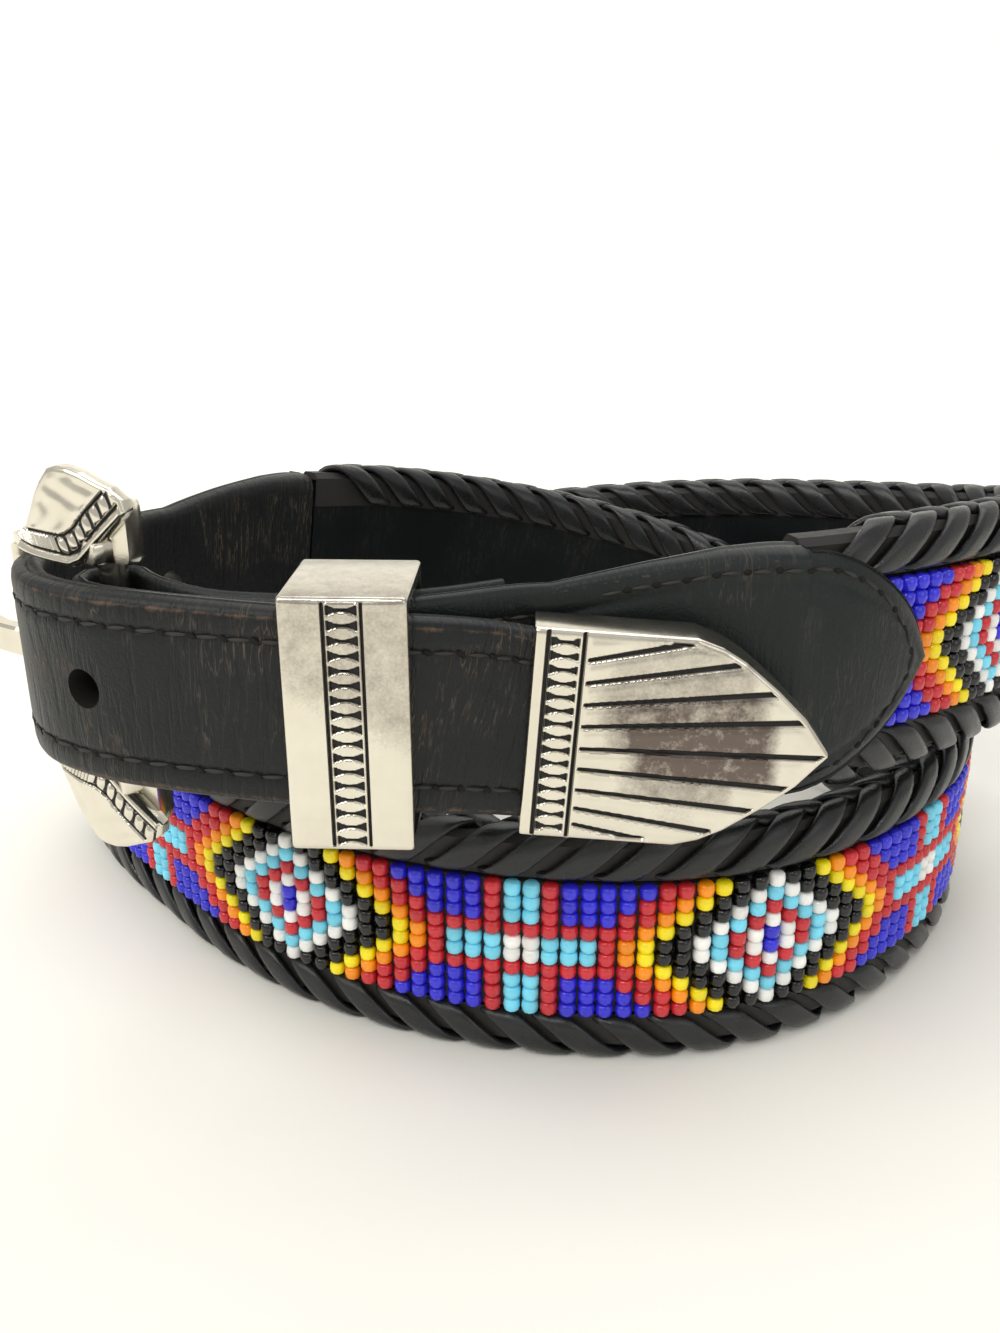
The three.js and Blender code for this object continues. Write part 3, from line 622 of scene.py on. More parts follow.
# Ends of the belt: the half width, inner and outer face by distance past the body's end
end_table = [
    (neck_start, 0.3307, None, None), (-20, 0.395, -1.6, 2.2), (-10, 0.438, -1.9, 3.7),
    (-4, 0.45, -1.9, 5.2), (-0.5, 0.447, -1.9, tab_out),
]
tab_steps = [-0.3, 2, 4, 6, 8, 10, 12, 13.5, 15, 16.2, 17.2, 18, 18.7, 19.2, 19.6, 19.85, 19.97]
end_steps = list(np.arange(neck_start, -0.6, 1.8)) + [-0.5] + tab_steps


def tab_half(past, length):
    """Half width of the rounded tab over the beads."""
    return 0.447 * max(0.0, 1 - (max(past, 0) / length) ** 1.65) ** 0.7 * body_width


def neck_half(past):
    """Half width of the padded neck before the beads."""
    return np.interp(past, [row[0] for row in end_table], [row[1] for row in end_table]) * body_width


def end_section(past, plain):
    """Section of a belt end; plain is half the thickness of the plain strap that it grows out of."""
    if past > -0.4:
        swell = min(1.0, (past + 0.3) / 6) * 0.8
        tip = max(0.0, (past - 12) / 8) ** 2
        half = max(tab_half(past, tab_length), 0.35)
        return leather_section(tab_in, tab_out + swell - tip, half, 7, crown=0.55, groove=0.3, wear=0.55)
    places = [row[0] for row in end_table]
    inner = np.interp(past, places, [-plain] + [row[2] for row in end_table[1:]])
    if past < -8:
        inner = min(inner, -plain)
    out = max(np.interp(past, places, [plain] + [row[3] for row in end_table[1:]]), plain)
    return leather_section(inner, out, neck_half(past), 20, groove=0.25, wear=0.9)


def cylinder_tool(place, axes, radius, height):
    """A round tool: axes gives its across, across and long directions."""
    def point(z, c, s):
        return place + axes[0] * radius * c + axes[1] * radius * s + axes[2] * z

    points, faces = round_rows((-height / 2, height / 2), 28, point)
    return facing_out(solid("tool", points, faces, strap_leather))


def unit(v):
    return v / np.linalg.norm(v)


# Buckle frame: along towards the bar, up, and out of the plate's face
buckle_origin = np.array([-63.8 - centre_x, -51.87 - centre_y, 62.7])
buckle_along = unit(np.array([0.731, -0.682, 0.0]))
buckle_up = np.array([0.0, 0.0, 1.0])
buckle_out = np.cross(buckle_along, buckle_up)
bar_along = 9.6
bar_out = -5.1
bar_radius = 1.9
leg_up = billet_width / 2 + 3.2
arm_end_along = 14.2
arm_end_up = 18.2
prong_slot_radius = 7.25
prong_slot_height = 4.9
plate_bow = 32
plate_thickness = 2.2
plate_edge = 0.7


def in_buckle(along, up, out):
    """Points of the flat buckle frame."""
    lying = np.outer(along, buckle_along) + np.outer(up, buckle_up)
    return buckle_origin + lying + np.outer(out, buckle_out)


def bowed(along, up, out):
    """Points of the plate, which is bowed along its length."""
    angle = np.asarray(along) / plate_bow
    reach = plate_bow + np.asarray(out)
    return in_buckle(reach * np.sin(angle), up, reach * np.cos(angle) - plate_bow)


def make_buckle_billet():
    steps = [0.5] + list(np.arange(3, body_start - 33, 2.6)) + [body_start + p for p in end_steps]

    def section(s):
        past = s - body_start
        if past >= neck_start:
            return end_section(past, inner_thickness / 2)
        thick = loop_thickness if s < loop_end else inner_thickness
        groove = 0.2 if s > loop_end + 2 else 0.0
        return leather_section(-thick / 2, thick / 2, billet_width / 2, 22, groove=groove, wear=0.8)

    piece = sweep("buckle_end_strap", steps, section, tab_leather)
    place = buckle_origin + buckle_along * bar_along + buckle_out * bar_out
    axes = (buckle_along, buckle_out, buckle_up)
    cut(piece, [cylinder_tool(place, axes, prong_slot_radius, prong_slot_height)])
    smooth_angle(piece, 40)
    return finish(piece, "black_leather", "buckle_billet")


# Tip cap: outline shares of its length and height
cap_outline = [
    (0, 0.5), (0.527, 0.5), (0.612, 0.465), (0.69, 0.408), (0.81, 0.286), (0.912, 0.165), (1, 0.015),
]


def cap_half(along):
    """Half height of the tip cap at a distance from its open end."""
    outline = np.array(cap_outline) * [cap_length, cap_height]
    return float(np.interp(along, outline[:, 0], outline[:, 1]))


def make_tip_strap():
    strap_end = cap_place + cap_cover
    steps = [body_end - p for p in reversed(end_steps)]
    steps += list(np.arange(body_end + 33.5, strap_end, 1.8)) + [strap_end]

    def section(s):
        past = body_end - s
        if past >= neck_start:
            return end_section(past, strap_thickness / 2)
        half = strap_thickness / 2
        shoulder = cap_half(s - cap_place) - cap_wall - cap_play if s > cap_place else billet_width
        return leather_section(-half, half, min(billet_width / 2, shoulder), 22, groove=0.3, wear=1.0)

    piece = sweep("tip_end_strap", steps, section, strap_leather)
    tools = []
    for i in range(hole_count):
        p, t, u, n = at(first_hole - i * hole_pitch)
        tools.append(cylinder_tool(p[0], (t[0], u[0], n[0]), hole_diameter / 2, strap_thickness + 4))
    cut(piece, tools)
    smooth_angle(piece, 40)
    return finish(piece, "black_leather", "tip_billet")


# Stitches: a thread hump that dips into the leather at both ends
def make_stitch_shape(length, width, rise):
    rings = 7

    def point(i, c, s):
        swell = math.sin(math.pi * (i + 0.35) / (rings - 0.3))
        along = (i / (rings - 1) - 0.5) * length
        return along, width / 2 * c * swell, rise * (swell - 0.55) + 0.28 * s * swell

    return pattern_shape("stitch_shape", *round_rows(range(rings), 6, point))


def make_slit_shape(length, width, rise):
    """The pricked slit between two stitches, a low dark lens that is painted shade in the hole."""
    rings = 5

    def point(i, c, s):
        along = (i / (rings - 1) - 0.5) * length
        swell = math.sqrt(max(0.04, 1 - (2 * along / length) ** 2))
        return along, width / 2 * swell * c, rise * swell * s

    return pattern_shape("slit_shape", *round_rows(range(rings), 8, point))


def make_stitches():
    pitch = 3.7
    shape = make_stitch_shape(3.2, 0.62, 0.16)
    slit = make_slit_shape(1.3, 0.62, 0.1)
    for name, start, stop, node, face in (
        ("strap_stitches", body_end + 34, cap_place - 1, "tip_billet", strap_thickness / 2 - 0.24),
        ("buckle_end_stitches", 74, body_start - 34, "buckle_billet", inner_thickness / 2 - 0.16),
    ):
        distances = np.arange(start, stop, pitch)
        points, turns, slits, slit_turns = [], [], [], []
        for side in (-1, 1):
            points.append(spot(distances, face, side * stitch_lane))
            turns += belt_turns(distances, lean=0.05)
            slits.append(spot(distances + pitch / 2, face + 0.2, side * stitch_lane))
            slit_turns += belt_turns(distances + pitch / 2, lean=-0.4)
        piece = set_on(name, shape, np.vstack(points), turns, thread, tilt=0.04, vary=0.06, seed=5)
        finish(piece, "black_leather", node)
        name += "_slits"
        piece = set_on(name, slit, np.vstack(slits), slit_turns, pricked_dark, tilt=0.12, vary=0.12, seed=6)
        finish(piece, "black_leather", node)
    drop(shape, slit)


def tab_stitch_line():
    """Half of the sewn line round a tab: distance past the body's end and height."""
    inset, end = 2.6, tab_length - 3.4
    line_points = []
    for past in np.linspace(-26, end, 240):
        if past > -0.4:
            half = max(tab_half(past, end) - inset * (1 - max(past, 0) / end), 0.0)
        else:
            half = neck_half(past) - inset
        line_points.append((past, half))
    return np.array(line_points)


def tab_face(past, up):
    """Level of a tab's outer face at a height."""
    section = np.array(end_section(past, inner_thickness / 2)[: len(across)])
    return np.interp(up, section[:, 1], section[:, 0])


def make_tab_stitches():
    pitch = 3.75
    shape = make_stitch_shape(2.9, 0.6, 0.16)
    slit = make_slit_shape(1.25, 0.8, 0.12)
    half_line = tab_stitch_line()
    full = np.vstack([half_line, (half_line * [1, -1])[::-1][1:]])
    length = distance_run(full)
    marks = np.arange(1.5, length[-1] - 2.5, pitch)
    for name, edge, way_sign, node in (
        ("tab_stitches", body_start, 1, "buckle_billet"), ("back_tab_stitches", body_end, -1, "tip_billet"),
    ):
        for label, made_from, shift, lift_by, finish_with in (
            ("", shape, 0.0, -0.02, thread), ("_slits", slit, pitch / 2, 0.04, pricked_dark),
        ):
            points, turns = [], []
            for mark in marks + shift:
                past, up = (np.interp(mark, length, full[:, k]) for k in (0, 1))
                next_past, next_up = (np.interp(mark + 0.5, length, full[:, k]) for k in (0, 1))
                s = edge + way_sign * past
                lean = math.atan2(next_up - up, way_sign * (next_past - past))
                points.append(spot(s, tab_face(past, up) + lift_by, up)[0])
                turns += belt_turns(s, lean=lean)
            piece = set_on(name + label, made_from, points, turns, finish_with, tilt=0.06, vary=0.08, seed=7)
            finish(piece, "black_leather", node)
    drop(shape, slit)


# Lace wound over the long edges: a strand's way as out and up, and its profile across and deep
lace_pitch = 8.1
lace_width = 5.5
lace_slant = 13.0
lace_path = [
    (1.6, 11.4), (2.8, 11.6), (3.5, 12.3), (3.75, 13.4), (3.8, 14.6), (3.76, 15.8), (3.55, 16.9),
    (3.1, 17.9), (2.4, 18.7), (1.5, 19.1), (0.6, 19.15), (-0.3, 18.8), (-1.0, 18.1), (-1.3, 17.3),
]
lace_profile = [
    (-0.5, -0.8), (-0.48, -0.35), (-0.4, -0.1), (-0.18, 0), (0.18, 0), (0.4, -0.1),
    (0.48, -0.35), (0.5, -0.8), (0.4, -1.15), (-0.4, -1.15),
]


def lace_strand(side, face, width):
    """Rows of distance, out and up for one flat strand, from the beads' edge over the ridge."""
    path = np.array(lace_path)
    reach = distance_run(path)
    points = []
    for i, (out, up) in enumerate(path):
        step = path[min(i + 1, len(path) - 1)] - path[max(i - 1, 0)]
        normal = np.array([step[1], -step[0]]) / np.linalg.norm(step)
        share = reach[i] / reach[-1]
        pinch = 1 - 0.1 * max(0, 1 - share / 0.1) - 0.35 * max(0, (share - 0.8) / 0.2)
        arch = 0.25 * math.sin(math.pi * share)
        lean = lace_slant * (share - 0.45)
        for x, h in lace_profile:
            height = up + normal[1] * (h - arch * 0.2)
            points.append((x * width * pinch + lean, face * (out + normal[0] * h), side * height))
    return np.array(points)


# Out and up of the covered edge that the lace is wound on
lace_core = [
    (-2.2, 11.4), (-2.2, 16.6), (-1.3, 17.6), (1.2, 17.6), (2.1, 16.6), (2.1, 11.4),
    (1.5, 11.4), (1.5, 16.3), (-2.0, 16.3), (-2.0, 11.4),
]


def make_lacing():
    for edge, side in (("top", 1), ("bottom", -1)):
        node = "lacing_" + edge
        ring = [(out, side * up, 0.0) for out, up in lace_core]
        finish(sweep("lace_core_" + edge, body_distances, lambda s: ring, thread), "black_lace", node)
        for face, offset, label in ((1, 0.0, "outer"), (-1, 0.5, "inner")):
            distances = np.arange(body_start + 9 + offset * lace_pitch, body_end - 9, lace_pitch)
            points, faces = [], []
            for s in distances:
                strand = lace_strand(side, face, lace_width * (1 + rng.uniform(-0.05, 0.05)))
                strand[:, 0] += s + rng.uniform(-0.3, 0.3)
                base = sum(len(p) for p in points)
                points.append(strand)
                faces += shifted(rings_to_faces(len(lace_path), len(lace_profile)), base)
            points = np.vstack(points)
            name = f"lace_{edge}_{label}"
            made = spot(np.clip(points[:, 0], body_start, body_end), points[:, 1], points[:, 2])
            piece = facing_out(solid(name, made, faces, lace_leather))
            finish(smooth_angle(piece, 55), "black_lace", node)


# Bead chart from the middle column of a diamond outwards, top row to middle row
bead_chart = [
    "WTRWB", "KWTRW", "KKWTR", "YKKWT", "OYKKW", "ROYKK", "RROYK", "BRROY", "BBRRO", "BBBRR",
    "BBBRT", "BBBRT", "RRRRT", "TTTRW",
]
chart_columns = 27

# White, turquoise, red, blue, black, yellow and orange beads
bead_colours = {
    "W": (0.93, 0.93, 0.90), "T": (0.20, 0.72, 0.93), "R": (0.60, 0.022, 0.032), "B": (0.028, 0.024, 0.66),
    "K": (0.0035, 0.004, 0.0045), "Y": (0.97, 0.80, 0.004), "O": (0.97, 0.30, 0.003),
}

# Distances along the belt of some columns, counted in the chart's columns
column_marks = [(0, 202.8), (135, 557.9), (148.5, 595.3), (162, 631.1), (175.5, 666.1)]
column_pitch = 2.63
bead_radius = 1.31
bead_height = 2.1
bead_middle = 2.6         # middle of the beads, out from the belt's middle line
end_margin = 1.3          # from the ends of the body to the middle of the outermost beads
turn_change = 500.0       # the upper turn ends here and the lower one begins


def column_distance(column):
    first, last = column_marks[0], column_marks[-1]
    if column < first[0]:
        return first[1] - (first[0] - column) * column_pitch
    if column > last[0]:
        return last[1] + (column - last[0]) * column_pitch
    return float(np.interp(column, [m[0] for m in column_marks], [m[1] for m in column_marks]))


def chart_letter(column, row):
    k = column % chart_columns
    if k > chart_columns / 2:
        k = chart_columns - k
    return bead_chart[k][row if row < 5 else 9 - row]


def make_bead_shape():
    """A seed bead, from shares of its radius and its height."""
    profile = [(0.66, -0.5), (0.92, -0.36), (1.0, 0.0), (0.92, 0.36), (0.66, 0.5)]

    def point(level, c, s):
        radius = level[0] * bead_radius
        return radius * c, level[1] * bead_height, radius * s

    return pattern_shape("bead_shape", *round_rows(profile, 10, point, turn=0.5), sharp=52)


def make_beads():
    shape = make_bead_shape()
    halves = {"beads_upper_turn": (body_start, turn_change), "beads_lower_turn": (turn_change, body_end)}
    for name, (low, high) in halves.items():
        points, where, colours = [], [], []
        for column in range(-20, 260):
            s = column_distance(column)
            if not max(low, body_start + end_margin) <= s < min(high, body_end - end_margin):
                continue
            drift = rng.uniform(-0.06, 0.06)
            for row in range(bead_rows):
                up = ((bead_rows - 1) / 2 - row) * bead_row_pitch
                place = s + drift + rng.uniform(-0.05, 0.05)
                out = bead_middle + rng.uniform(-0.05, 0.05)
                points.append(spot(place, out, up + rng.uniform(-0.04, 0.04))[0])
                where.append(place)
                shade = 1 + rng.uniform(-0.12, 0.08)
                colour = bead_colours[chart_letter(column, row)]
                colours.append([min(1.0, c * shade) for c in colour] + [1.0])
        turns = belt_turns(where)
        piece = set_on(name, shape, points, turns, bead_glass, tilt=0.05, vary=0.035, seed=9, colours=colours)
        finish(smooth_angle(piece, 52), "glass_beads", "bead_panel")
    ring = [(1.35, -10.9, 0), (1.35, 10.9, 0), (2.2, 10.7, 0), (2.2, -10.7, 0)]
    finish(sweep("bead_warp_threads", body_distances, lambda s: ring, thread), "glass_beads", "bead_panel")
    drop(shape)


# Metal shapes as fine grids with raised and sunk ornament
def rounding(d, radius):
    """How far a rounded edge falls at distance d from it."""
    d = np.clip(d, 0, radius)
    return radius - np.sqrt(np.maximum(radius**2 - (radius - d) ** 2, 0))


def smooth_step(x, low, high):
    x = np.clip((np.asarray(x, float) - low) / (high - low), 0, 1)
    return x * x * (3 - 2 * x)


def chain_relief(along, up, left, right, low, high, count):
    """Depth and blackness of a strip of ovals: black bow-ties lie between them, and a line on each side."""
    middle = (left + right) / 2
    half = (right - left) / 2
    pitch = (high - low) / count
    cell = (((up - low) / pitch) % 1.0 - 0.5) * pitch
    across_strip = (along - middle) / (half * 0.8)
    inside = (np.abs(across_strip) < 1) & (up > low) & (up < high)
    waist = 0.16 + 0.5 * across_strip**2
    tie = np.where(inside, 1 - smooth_step(np.abs(cell) - waist * pitch / 2, -0.08, 0.1), 0.0)
    depth = 0.42 * tie
    black = tie.copy()
    for line_at in (left - 0.1, right + 0.1):
        groove = 1 - smooth_step(np.abs(along - line_at), 0.1, 0.26)
        groove = np.where((up > low - 0.6) & (up < high + 0.6), groove, 0)
        depth = np.maximum(depth, 0.45 * groove)
        black = np.maximum(black, groove)
    return depth, black


def grid_faces(rows_count, columns):
    """Quads between equal closed rows, open at both ends."""
    faces = []
    for i in range(rows_count - 1):
        for j in range(columns):
            a, b = i * columns + j, i * columns + (j + 1) % columns
            faces.append((a, b, b + columns, a + columns))
    return faces


def in_axes(origin, axes, along, up, out):
    return origin + along * axes[0] + np.outer(up, axes[1]) + np.outer(out, axes[2])


# Keeper: sections round its loop as out and up, with their outward directions
keeper_turn = -2
keeper_drop = 0.6
keeper_corner = 0.7
keeper_depth = 11         # behind the strap's middle line, to the inner face
keeper_play = 0.6
keeper_edge = 0.55
keeper_strip = 2.1        # half width of the strip of ovals
# Strength of the painted reflection on the keeper
keeper_painted_reflection = 0.42


def keeper_loop(half, face_out, back_out):
    near, far, up_to = face_out - keeper_corner, back_out + keeper_corner, half - keeper_corner
    loop = [(face_out, up, 1.0, 0.0) for up in np.linspace(up_to, -up_to, 190)]
    for out, up, start in ((near, -up_to, 0), (far, -up_to, -90), (far, up_to, -180), (near, up_to, -270)):
        for i in range(1, 7):
            a = math.radians(start - 90 * i / 7)
            c, s = math.cos(a), math.sin(a)
            loop.append((out + keeper_corner * c, up + keeper_corner * s, c, s))
        if start == -90:
            loop += [(back_out, up, -1.0, 0.0) for up in np.linspace(-up_to, up_to, 12)[1:-1]]
    return np.array(loop)


def make_keeper():
    yaw = math.radians(keeper_turn)
    axes = (np.array([math.cos(yaw), math.sin(yaw), 0.0]), np.array([0.0, 0.0, 1.0]))
    axes = axes + (np.cross(axes[0], axes[1]),)
    middle = at(keeper_place)[0][0] - [0, 0, keeper_drop]
    half = keeper_height / 2
    face_out = strap_thickness / 2 + keeper_play + metal_wall
    back_out = -keeper_depth - metal_wall
    loop = keeper_loop(half, face_out, back_out)
    ends = np.array([0, 0.04, 0.11, 0.22, 0.36, keeper_edge])
    stations = np.concatenate([ends, np.linspace(0.9, keeper_width - 0.9, 84), keeper_width - ends[::-1]])
    stations -= keeper_width / 2
    points, sunk = [], []
    for a in stations:
        fall = rounding(keeper_width / 2 - abs(a), keeper_edge)
        depth, black = chain_relief(a, loop[:, 1], -keeper_strip, keeper_strip, -half + 0.6, half - 0.6, 17)
        front = (loop[:, 0] > face_out - 0.01)
        swell = 0.12 * np.cos(np.clip(a / (keeper_width / 2), -1, 1) * math.pi / 2)
        h = np.where(front, swell - depth, 0) - fall
        sunk.extend(np.where(front, black, 0))
        q = loop[:, :2] + loop[:, 2:] * h[:, None]
        points.append(in_axes(middle, axes, a, q[:, 1], q[:, 0]))
    columns = len(loop)
    heights = np.tile(loop[:, 1], len(stations))
    reaches = np.repeat(stations, columns)
    # Painted reflection: darker towards the top of the loop and towards one end
    film = keeper_painted_reflection * smooth_step(heights + 0.5 * reaches, -2.5, 4.5)
    inner = []
    inside = half - metal_wall - 0.2
    for a in (stations[0], stations[-1]):
        out = np.clip(loop[:, 0], back_out + metal_wall, face_out - metal_wall)
        inner.append(in_axes(middle, axes, a, np.clip(loop[:, 1], -inside, inside), out))
    faces = grid_faces(len(stations), columns)
    base = len(stations) * columns
    last = base - columns
    for j in range(columns):
        k = (j + 1) % columns
        faces.append((j, k, base + k, base + j))
        faces.append((last + j, last + k, base + columns + k, base + columns + j))
        faces.append((base + j, base + k, base + columns + k, base + columns + j))
    bare = np.zeros(2 * columns)
    values = {"sunk": np.concatenate([sunk, bare]), "film": np.concatenate([film, bare])}
    piece = facing_out(solid("keeper_band", np.vstack(points + inner), faces, silver, values=values))
    return finish(smooth_angle(piece, 50), "antique_silver", "keeper_loop")


# Rays of the tip cap: height at the strip of ovals, and where they end
ray_start = 6.9
rays = [
    (10.4, 21, 14), (7.4, 27.3, 11.6), (4.5, 32, 8), (1.6, 35.9, 4.4), (-1.4, 38.6, -0.3),
    (-4.2, 35.2, -5), (-7.1, 31.4, -8.5), (-9.7, 26.7, -12), (-12, 18.8, -14),
]

# Painted dark brown reflection between the rays, from the top: its start and end along the cap, and how dark
# it is
reflection_bay_marks = [
    (12, 20, 0.25), (9, 24, 0.35), (8, 27, 0.5), (9, 29, 0.8), (10.5, 30.5, 1.0), (13, 31, 1.0),
    (12, 26, 0.55), (16, 22, 0.2), (12, 16, 0.1), (12, 16, 0.1),
]


def painted_bay_reflection(a, up):
    """Painted dark reflection across the cap at a distance from its open end."""
    levels = np.array([s + (e - s) * (a - ray_start) / (x - ray_start) for s, x, e in rays])
    bay = np.array([int((levels > y).sum()) for y in up])
    marks = np.array(reflection_bay_marks)[np.clip(bay, 0, len(reflection_bay_marks) - 1)]
    from_start = smooth_step(a, marks[:, 0] - 2.5, marks[:, 0] + 3.0)
    to_end = 1 - smooth_step(a, marks[:, 1] - 1.5, marks[:, 1] + 1.5)
    return marks[:, 2] * from_start * to_end


def make_cap():
    strap_end = cap_place + cap_cover
    tip_point = at(strap_end)[0][0]
    along_axis = unit(tip_point - at(cap_place + 3)[0][0])
    up_axis = unit(np.array([0.0, 0.0, 1.0]) - along_axis * along_axis[2])
    axes = (along_axis, up_axis, np.cross(along_axis, up_axis))
    origin = tip_point - along_axis * cap_cover
    deep = strap_thickness / 2 + cap_play
    face_out = deep + cap_wall
    near_tip = cap_length - np.array([0.9, 0.6, 0.35, 0.15, 0])
    stations = np.concatenate([[0, 0.1, 0.25, 0.45], np.linspace(0.7, cap_length - 1.2, 170), near_tip])
    rim = np.array([0.935, 0.96, 0.98, 0.993, 1])
    spread = np.concatenate([-rim[::-1], np.linspace(-0.91, 0.91, 166), rim])
    points, sunk, film = [], [], []
    for a in stations:
        half = cap_half(a)
        slope = (cap_half(a + 0.8) - cap_half(a - 0.8)) / 1.6
        up = spread * half
        to_edge = (half - np.abs(up)) * math.cos(math.atan(slope))
        fall = rounding(to_edge, cap_edge) + rounding(a, 0.4)
        depth, black = chain_relief(a, up, *cap_strip, -half + 0.7, half - 0.7, 15)
        nearest = np.full(len(up), 9.0)
        for start_up, end_along, end_up in rays:
            way = np.array([end_along - ray_start, end_up - start_up])
            length = np.linalg.norm(way)
            way = way / length
            run_along = np.clip((a - ray_start) * way[0] + (up - start_up) * way[1], 0, length)
            gap = np.hypot(a - ray_start - run_along * way[0], up - start_up - run_along * way[1])
            width = 0.14 + 0.12 * run_along / length
            groove = 1 - smooth_step(gap, width - 0.04, width + 0.24)
            inside = to_edge > 0.7
            depth = np.maximum(depth, np.where(inside, 0.5 * groove, 0))
            black = np.maximum(black, np.where(inside, groove, 0))
            nearest = np.minimum(nearest, gap)
        flute = 0.13 * smooth_step(nearest, 0.3, 1.6) * (a > ray_start) * smooth_step(to_edge, 0.5, 2.0)
        front = face_out - 0.2 - fall - depth + flute
        back = -face_out + rounding(to_edge, cap_edge)
        out = np.concatenate([front, np.minimum(back[::-1], -0.1)])
        points.append(in_axes(origin, axes, a, np.concatenate([up, up[::-1]]), out))
        sunk.extend(np.concatenate([black, np.zeros(len(up))]))
        # Painted reflection between the rays on the front, none on the back
        film.extend(np.concatenate([painted_bay_reflection(a, up), np.zeros(len(up))]))
    columns = 2 * len(spread)
    faces = rings_to_faces(len(stations), columns)
    values = {"sunk": sunk, "film": film}
    piece = facing_out(solid("tip_case", np.vstack(points), faces, silver, values=values))
    rings = []
    corner_up, corner_out = np.array([-1, 1, 1, -1]), np.array([-1, -1, 1, 1])
    for a in (-2, 0, 12, 19.6, 22.8, 25.7, cap_cover + 0.4):
        half = min(billet_width / 2 + 0.4, cap_half(a) - cap_wall)
        rings.append(in_axes(origin, axes, a, half * corner_up, deep * corner_out))
    cut(piece, [facing_out(solid("tool", np.vstack(rings), rings_to_faces(len(rings), 4), silver))])
    return finish(smooth_angle(piece, 45), "antique_silver", "tip_cap")


# Buckle plate: outer and inner outline points, from the arm's end to the middle of the closed end
plate_pairs = [
    ((16.3, 22.9), (16.6, 21.4)), ((14.5, 24.3), (15.8, 20.4)), ((12.5, 25.0), (14.6, 19.3)),
    ((10.2, 25.9), (13.3, 18.1)), ((8.0, 26.4), (12.2, 17.1)), ((6.0, 26.4), (10.8, 15.7)),
    ((4.5, 26.0), (9.4, 14.4)), ((2.6, 24.3), (7.6, 13.6)), ((1.0, 22.6), (5.4, 13.6)),
    ((-1.0, 20.0), (2.6, 13.6)), ((-3.0, 17.8), (0.0, 13.6)), ((-5.0, 16.7), (-3.0, 13.6)),
    ((-7.0, 16.0), (-5.5, 13.6)), ((-9.5, 15.5), (-8.0, 13.6)), ((-12.0, 14.9), (-9.9, 13.5)),
    ((-15.0, 12.5), (-12.0, 13.1)), ((-16.6, 9.5), (-13.2, 11.0)), ((-17.0, 5.0), (-13.6, 5.0)),
    ((-17.0, 0.0), (-13.6, 0.0)),
]
plate_ribs_pitch = 0.7
slope_pitch = 1.9         # ribs on the slanted arm's end
slope_length = 13.5


def make_plate():
    half_pairs = np.array(plate_pairs, float)
    mirrored = half_pairs[::-1][1:] * [1, -1]
    pairs = np.vstack([half_pairs, mirrored])
    inner_run = distance_run(pairs[:, 1])
    marks = np.linspace(0, inner_run[-1], 620)
    outer = np.column_stack([np.interp(marks, inner_run, pairs[:, 0, k]) for k in (0, 1)])
    inner = np.column_stack([np.interp(marks, inner_run, pairs[:, 1, k]) for k in (0, 1)])
    shares = np.concatenate([[0, 0.008, 0.02, 0.04], np.linspace(0.06, 0.94, 40), [0.96, 0.98, 0.992, 1]])
    points, sunk = [], []
    for i in range(len(marks)):
        width = np.linalg.norm(outer[i] - inner[i])
        w = shares * width
        q = inner[i] + np.outer(shares, outer[i] - inner[i])
        from_end = min(marks[i], inner_run[-1] - marks[i])
        edge = np.minimum(w, width - w)
        fall = rounding(np.minimum(edge, from_end + 0.02), plate_edge)
        h = np.zeros(len(w))
        black = np.zeros(len(w))
        if width > 3.0:
            rim = 0.45 * np.sin(math.pi * np.clip(w / 1.5, 0, 1))
            first = 1 - smooth_step(np.abs(w - 1.75), 0.1, 0.3)
            second = 1 - smooth_step(np.abs(w - 4.3), 0.1, 0.3)
            on_slope = from_end < slope_length
            pitch = slope_pitch if on_slope else plate_ribs_pitch
            wave = 0.5 - 0.5 * math.cos(2 * math.pi * marks[i] / pitch)
            band = smooth_step(w, 1.9, 2.2) * (1 - smooth_step(w, 3.85, 4.15))
            if on_slope:
                oval = np.sqrt(np.maximum(1 - (w - 3.0) ** 2 / 1.1**2, 0)) * math.sqrt(wave)
                h += band * (0.5 * oval - 0.25)
                black = np.maximum(black, band * (1 - smooth_step(oval, 0.2, 0.5)))
            else:
                h += band * (0.36 * wave - 0.2)
                black = np.maximum(black, band * (1 - wave) ** 3 * 0.8)
            lines = np.maximum(first, second * (width > 5.2))
            h += rim - 0.4 * lines
            black = np.maximum(black, lines)
            field = smooth_step(w, 4.6, 5.4) * smooth_step(width - w, 0.8, 1.8)
            x, y = q[:, 0], np.abs(q[:, 1])
            leaf = np.sin(x * 1.15 + 2.0 * np.sin(y * 0.55)) * np.cos(y * 1.05 - x * 0.35)
            h += field * 0.15 * leaf
            black = np.maximum(black, field * smooth_step(-leaf, 0.7, 0.98) * 0.25)
        ring = np.vstack([q, q[::-1]])
        back = 0.5 * rounding(edge, plate_edge)[::-1] - plate_thickness
        points.append(bowed(ring[:, 0], ring[:, 1], np.concatenate([h - fall, back])))
        sunk.extend(np.concatenate([black, np.zeros(len(w))]))
    faces = rings_to_faces(len(marks), 2 * len(shares))
    piece = facing_out(solid("buckle_frame", np.vstack(points), faces, silver, values={"sunk": sunk}))
    return finish(smooth_angle(piece, 50), "antique_silver", "buckle_plate")


def block(levels, half_along, half_up, power, place, at_level):
    """Rounded block that rises through levels, each with how far it shrinks there."""
    def point(level, c, s):
        out, shrink = level
        x = place[0] + math.copysign(abs(c) ** power, c) * (half_along - shrink)
        y = place[1] + math.copysign(abs(s) ** power, s) * (half_up - shrink)
        return at_level([x], [y], [out])[0]

    return round_rows(levels, 24, point)


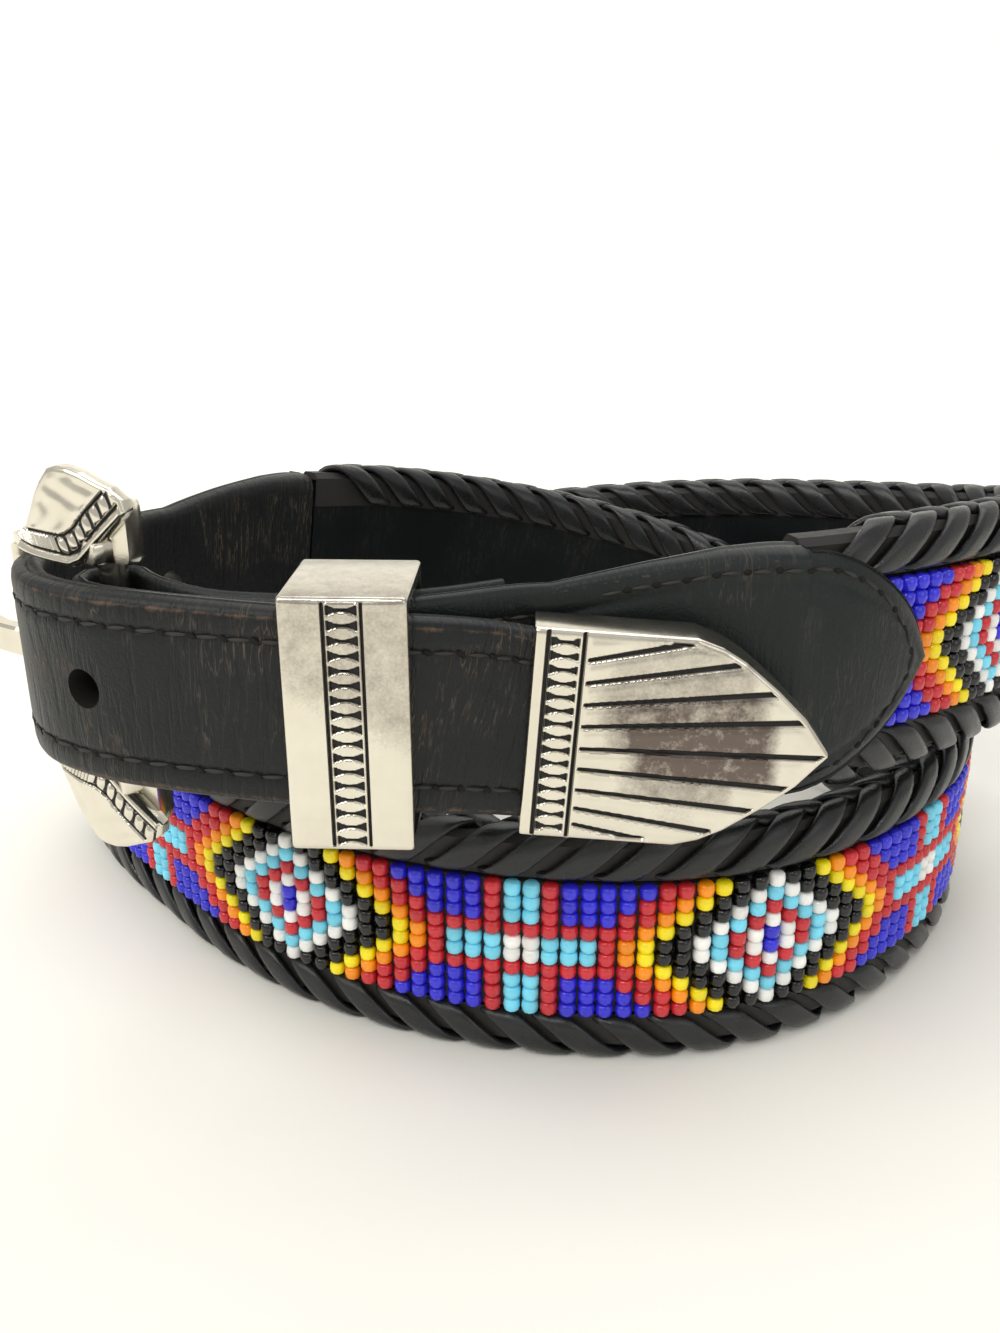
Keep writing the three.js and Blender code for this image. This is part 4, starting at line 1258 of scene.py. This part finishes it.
def make_bar():
    """The bar, and on each side its leg and the block that joins the arm's end to it."""
    reach = billet_width / 2 + 2.4

    def rod(y, c, s):
        return in_buckle([bar_along + bar_radius * c], [y], [bar_out + bar_radius * s])[0]

    made = [round_rows(np.linspace(-reach, reach, 5), 20, rod)]
    leg = [(-2.8, 0.5), (-2.45, 0.12), (-1.2, 0), (1.2, 0), (2.45, 0.12), (2.8, 0.3)]
    leg = [(bar_out + 0.7 + level, shrink) for level, shrink in leg]
    joint = [(-5.4, 0.6), (-5.1, 0.2), (-3.6, 0.0), (-2.2, 0.1), (-1.6, 0.3)]
    for side in (-1, 1):
        made.append(block(leg, 2.5, 1.7, 0.4, (bar_along, side * leg_up), in_buckle))
        made.append(block(joint, 1.5, 4.1, 0.35, (arm_end_along, side * arm_end_up), bowed))
    all_points, all_faces = [], []
    for points, faces in made:
        all_faces += shifted(faces, len(all_points))
        all_points += points
    values = {"sunk": [0.0] * len(all_points)}
    piece = facing_out(solid("buckle_bar", all_points, all_faces, silver, values=values))
    return finish(smooth_angle(piece, 45), "antique_silver", "buckle_plate")


def dress_prong():
    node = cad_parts["buckle_prong"]
    prong = node if isinstance(node, bpy.types.Object) else bpy.data.objects["buckle_prong"]
    for slot in prong.material_slots:
        slot.material = silver
    if not prong.material_slots:
        prong.data.materials.append(silver)


make_backing()
make_buckle_billet()
make_tip_strap()
make_stitches()
make_tab_stitches()
make_lacing()
make_beads()
make_keeper()
make_cap()
make_plate()
make_bar()
dress_prong()


# Floor with a curved backdrop
def make_sweep():
    profile = [(-900, 0), (700, 0), (800, 12), (880, 45), (950, 100), (1000, 180), (1030, 280), (1040, 900)]
    points = [(x, y, z) for y, z in profile for x in (-1400, 1400)]
    faces = [(2 * i, 2 * i + 1, 2 * i + 3, 2 * i + 2) for i in range(len(profile) - 1)]
    material, tree, shader, place = new_material("pale_floor")
    cloud = noise(tree, place, 4.0, 2.0)
    colour = blend_colours(tree, cloud, (0.86, 0.845, 0.79), (0.90, 0.885, 0.83))
    tree.links.new(colour, shader.inputs["Base Color"])
    shader.inputs["Roughness"].default_value = 0.75
    solid("studio_floor", points, faces, material)


def area_light(name, place, target, size, power, colour=(1, 1, 1)):
    data = bpy.data.lights.new(name, "AREA")
    data.shape = "RECTANGLE"
    data.size, data.size_y = size
    data.energy = power
    data.color = colour
    light = bpy.data.objects.new(name, data)
    light.location = place
    light.rotation_euler = (Vector(target) - Vector(place)).to_track_quat("-Z", "Y").to_euler()
    bpy.context.scene.collection.objects.link(light)


make_sweep()
area_light("window", (-0.55, -0.35, 0.65), (0, 0, 0.04), (0.6, 0.6), 3.55, (1.0, 0.98, 0.94))
area_light("top", (0.15, 0.25, 0.9), (0, 0, 0.04), (0.9, 0.7), 3.4)
area_light("front_fill", (0.55, -0.75, 0.45), (0, 0, 0.04), (0.6, 0.5), 1.0, (0.96, 0.98, 1.0))
area_light("glint", (-0.12, -0.52, 0.62), (0, 0, 0.04), (0.1, 0.1), 0.75, (1.0, 0.99, 0.97))
area_light("backdrop_wash", (0, 0.55, 0.75), (0, 1.0, 0.25), (1.6, 0.3), 4.0)
world = bpy.data.worlds.new("studio")
world.use_nodes = True
sky = world.node_tree.nodes["Background"].inputs
sky["Color"].default_value = (1.0, 0.985, 0.95, 1)
sky["Strength"].default_value = 0.58
bpy.context.scene.world = world
bpy.context.scene.view_settings.view_transform = "Standard"
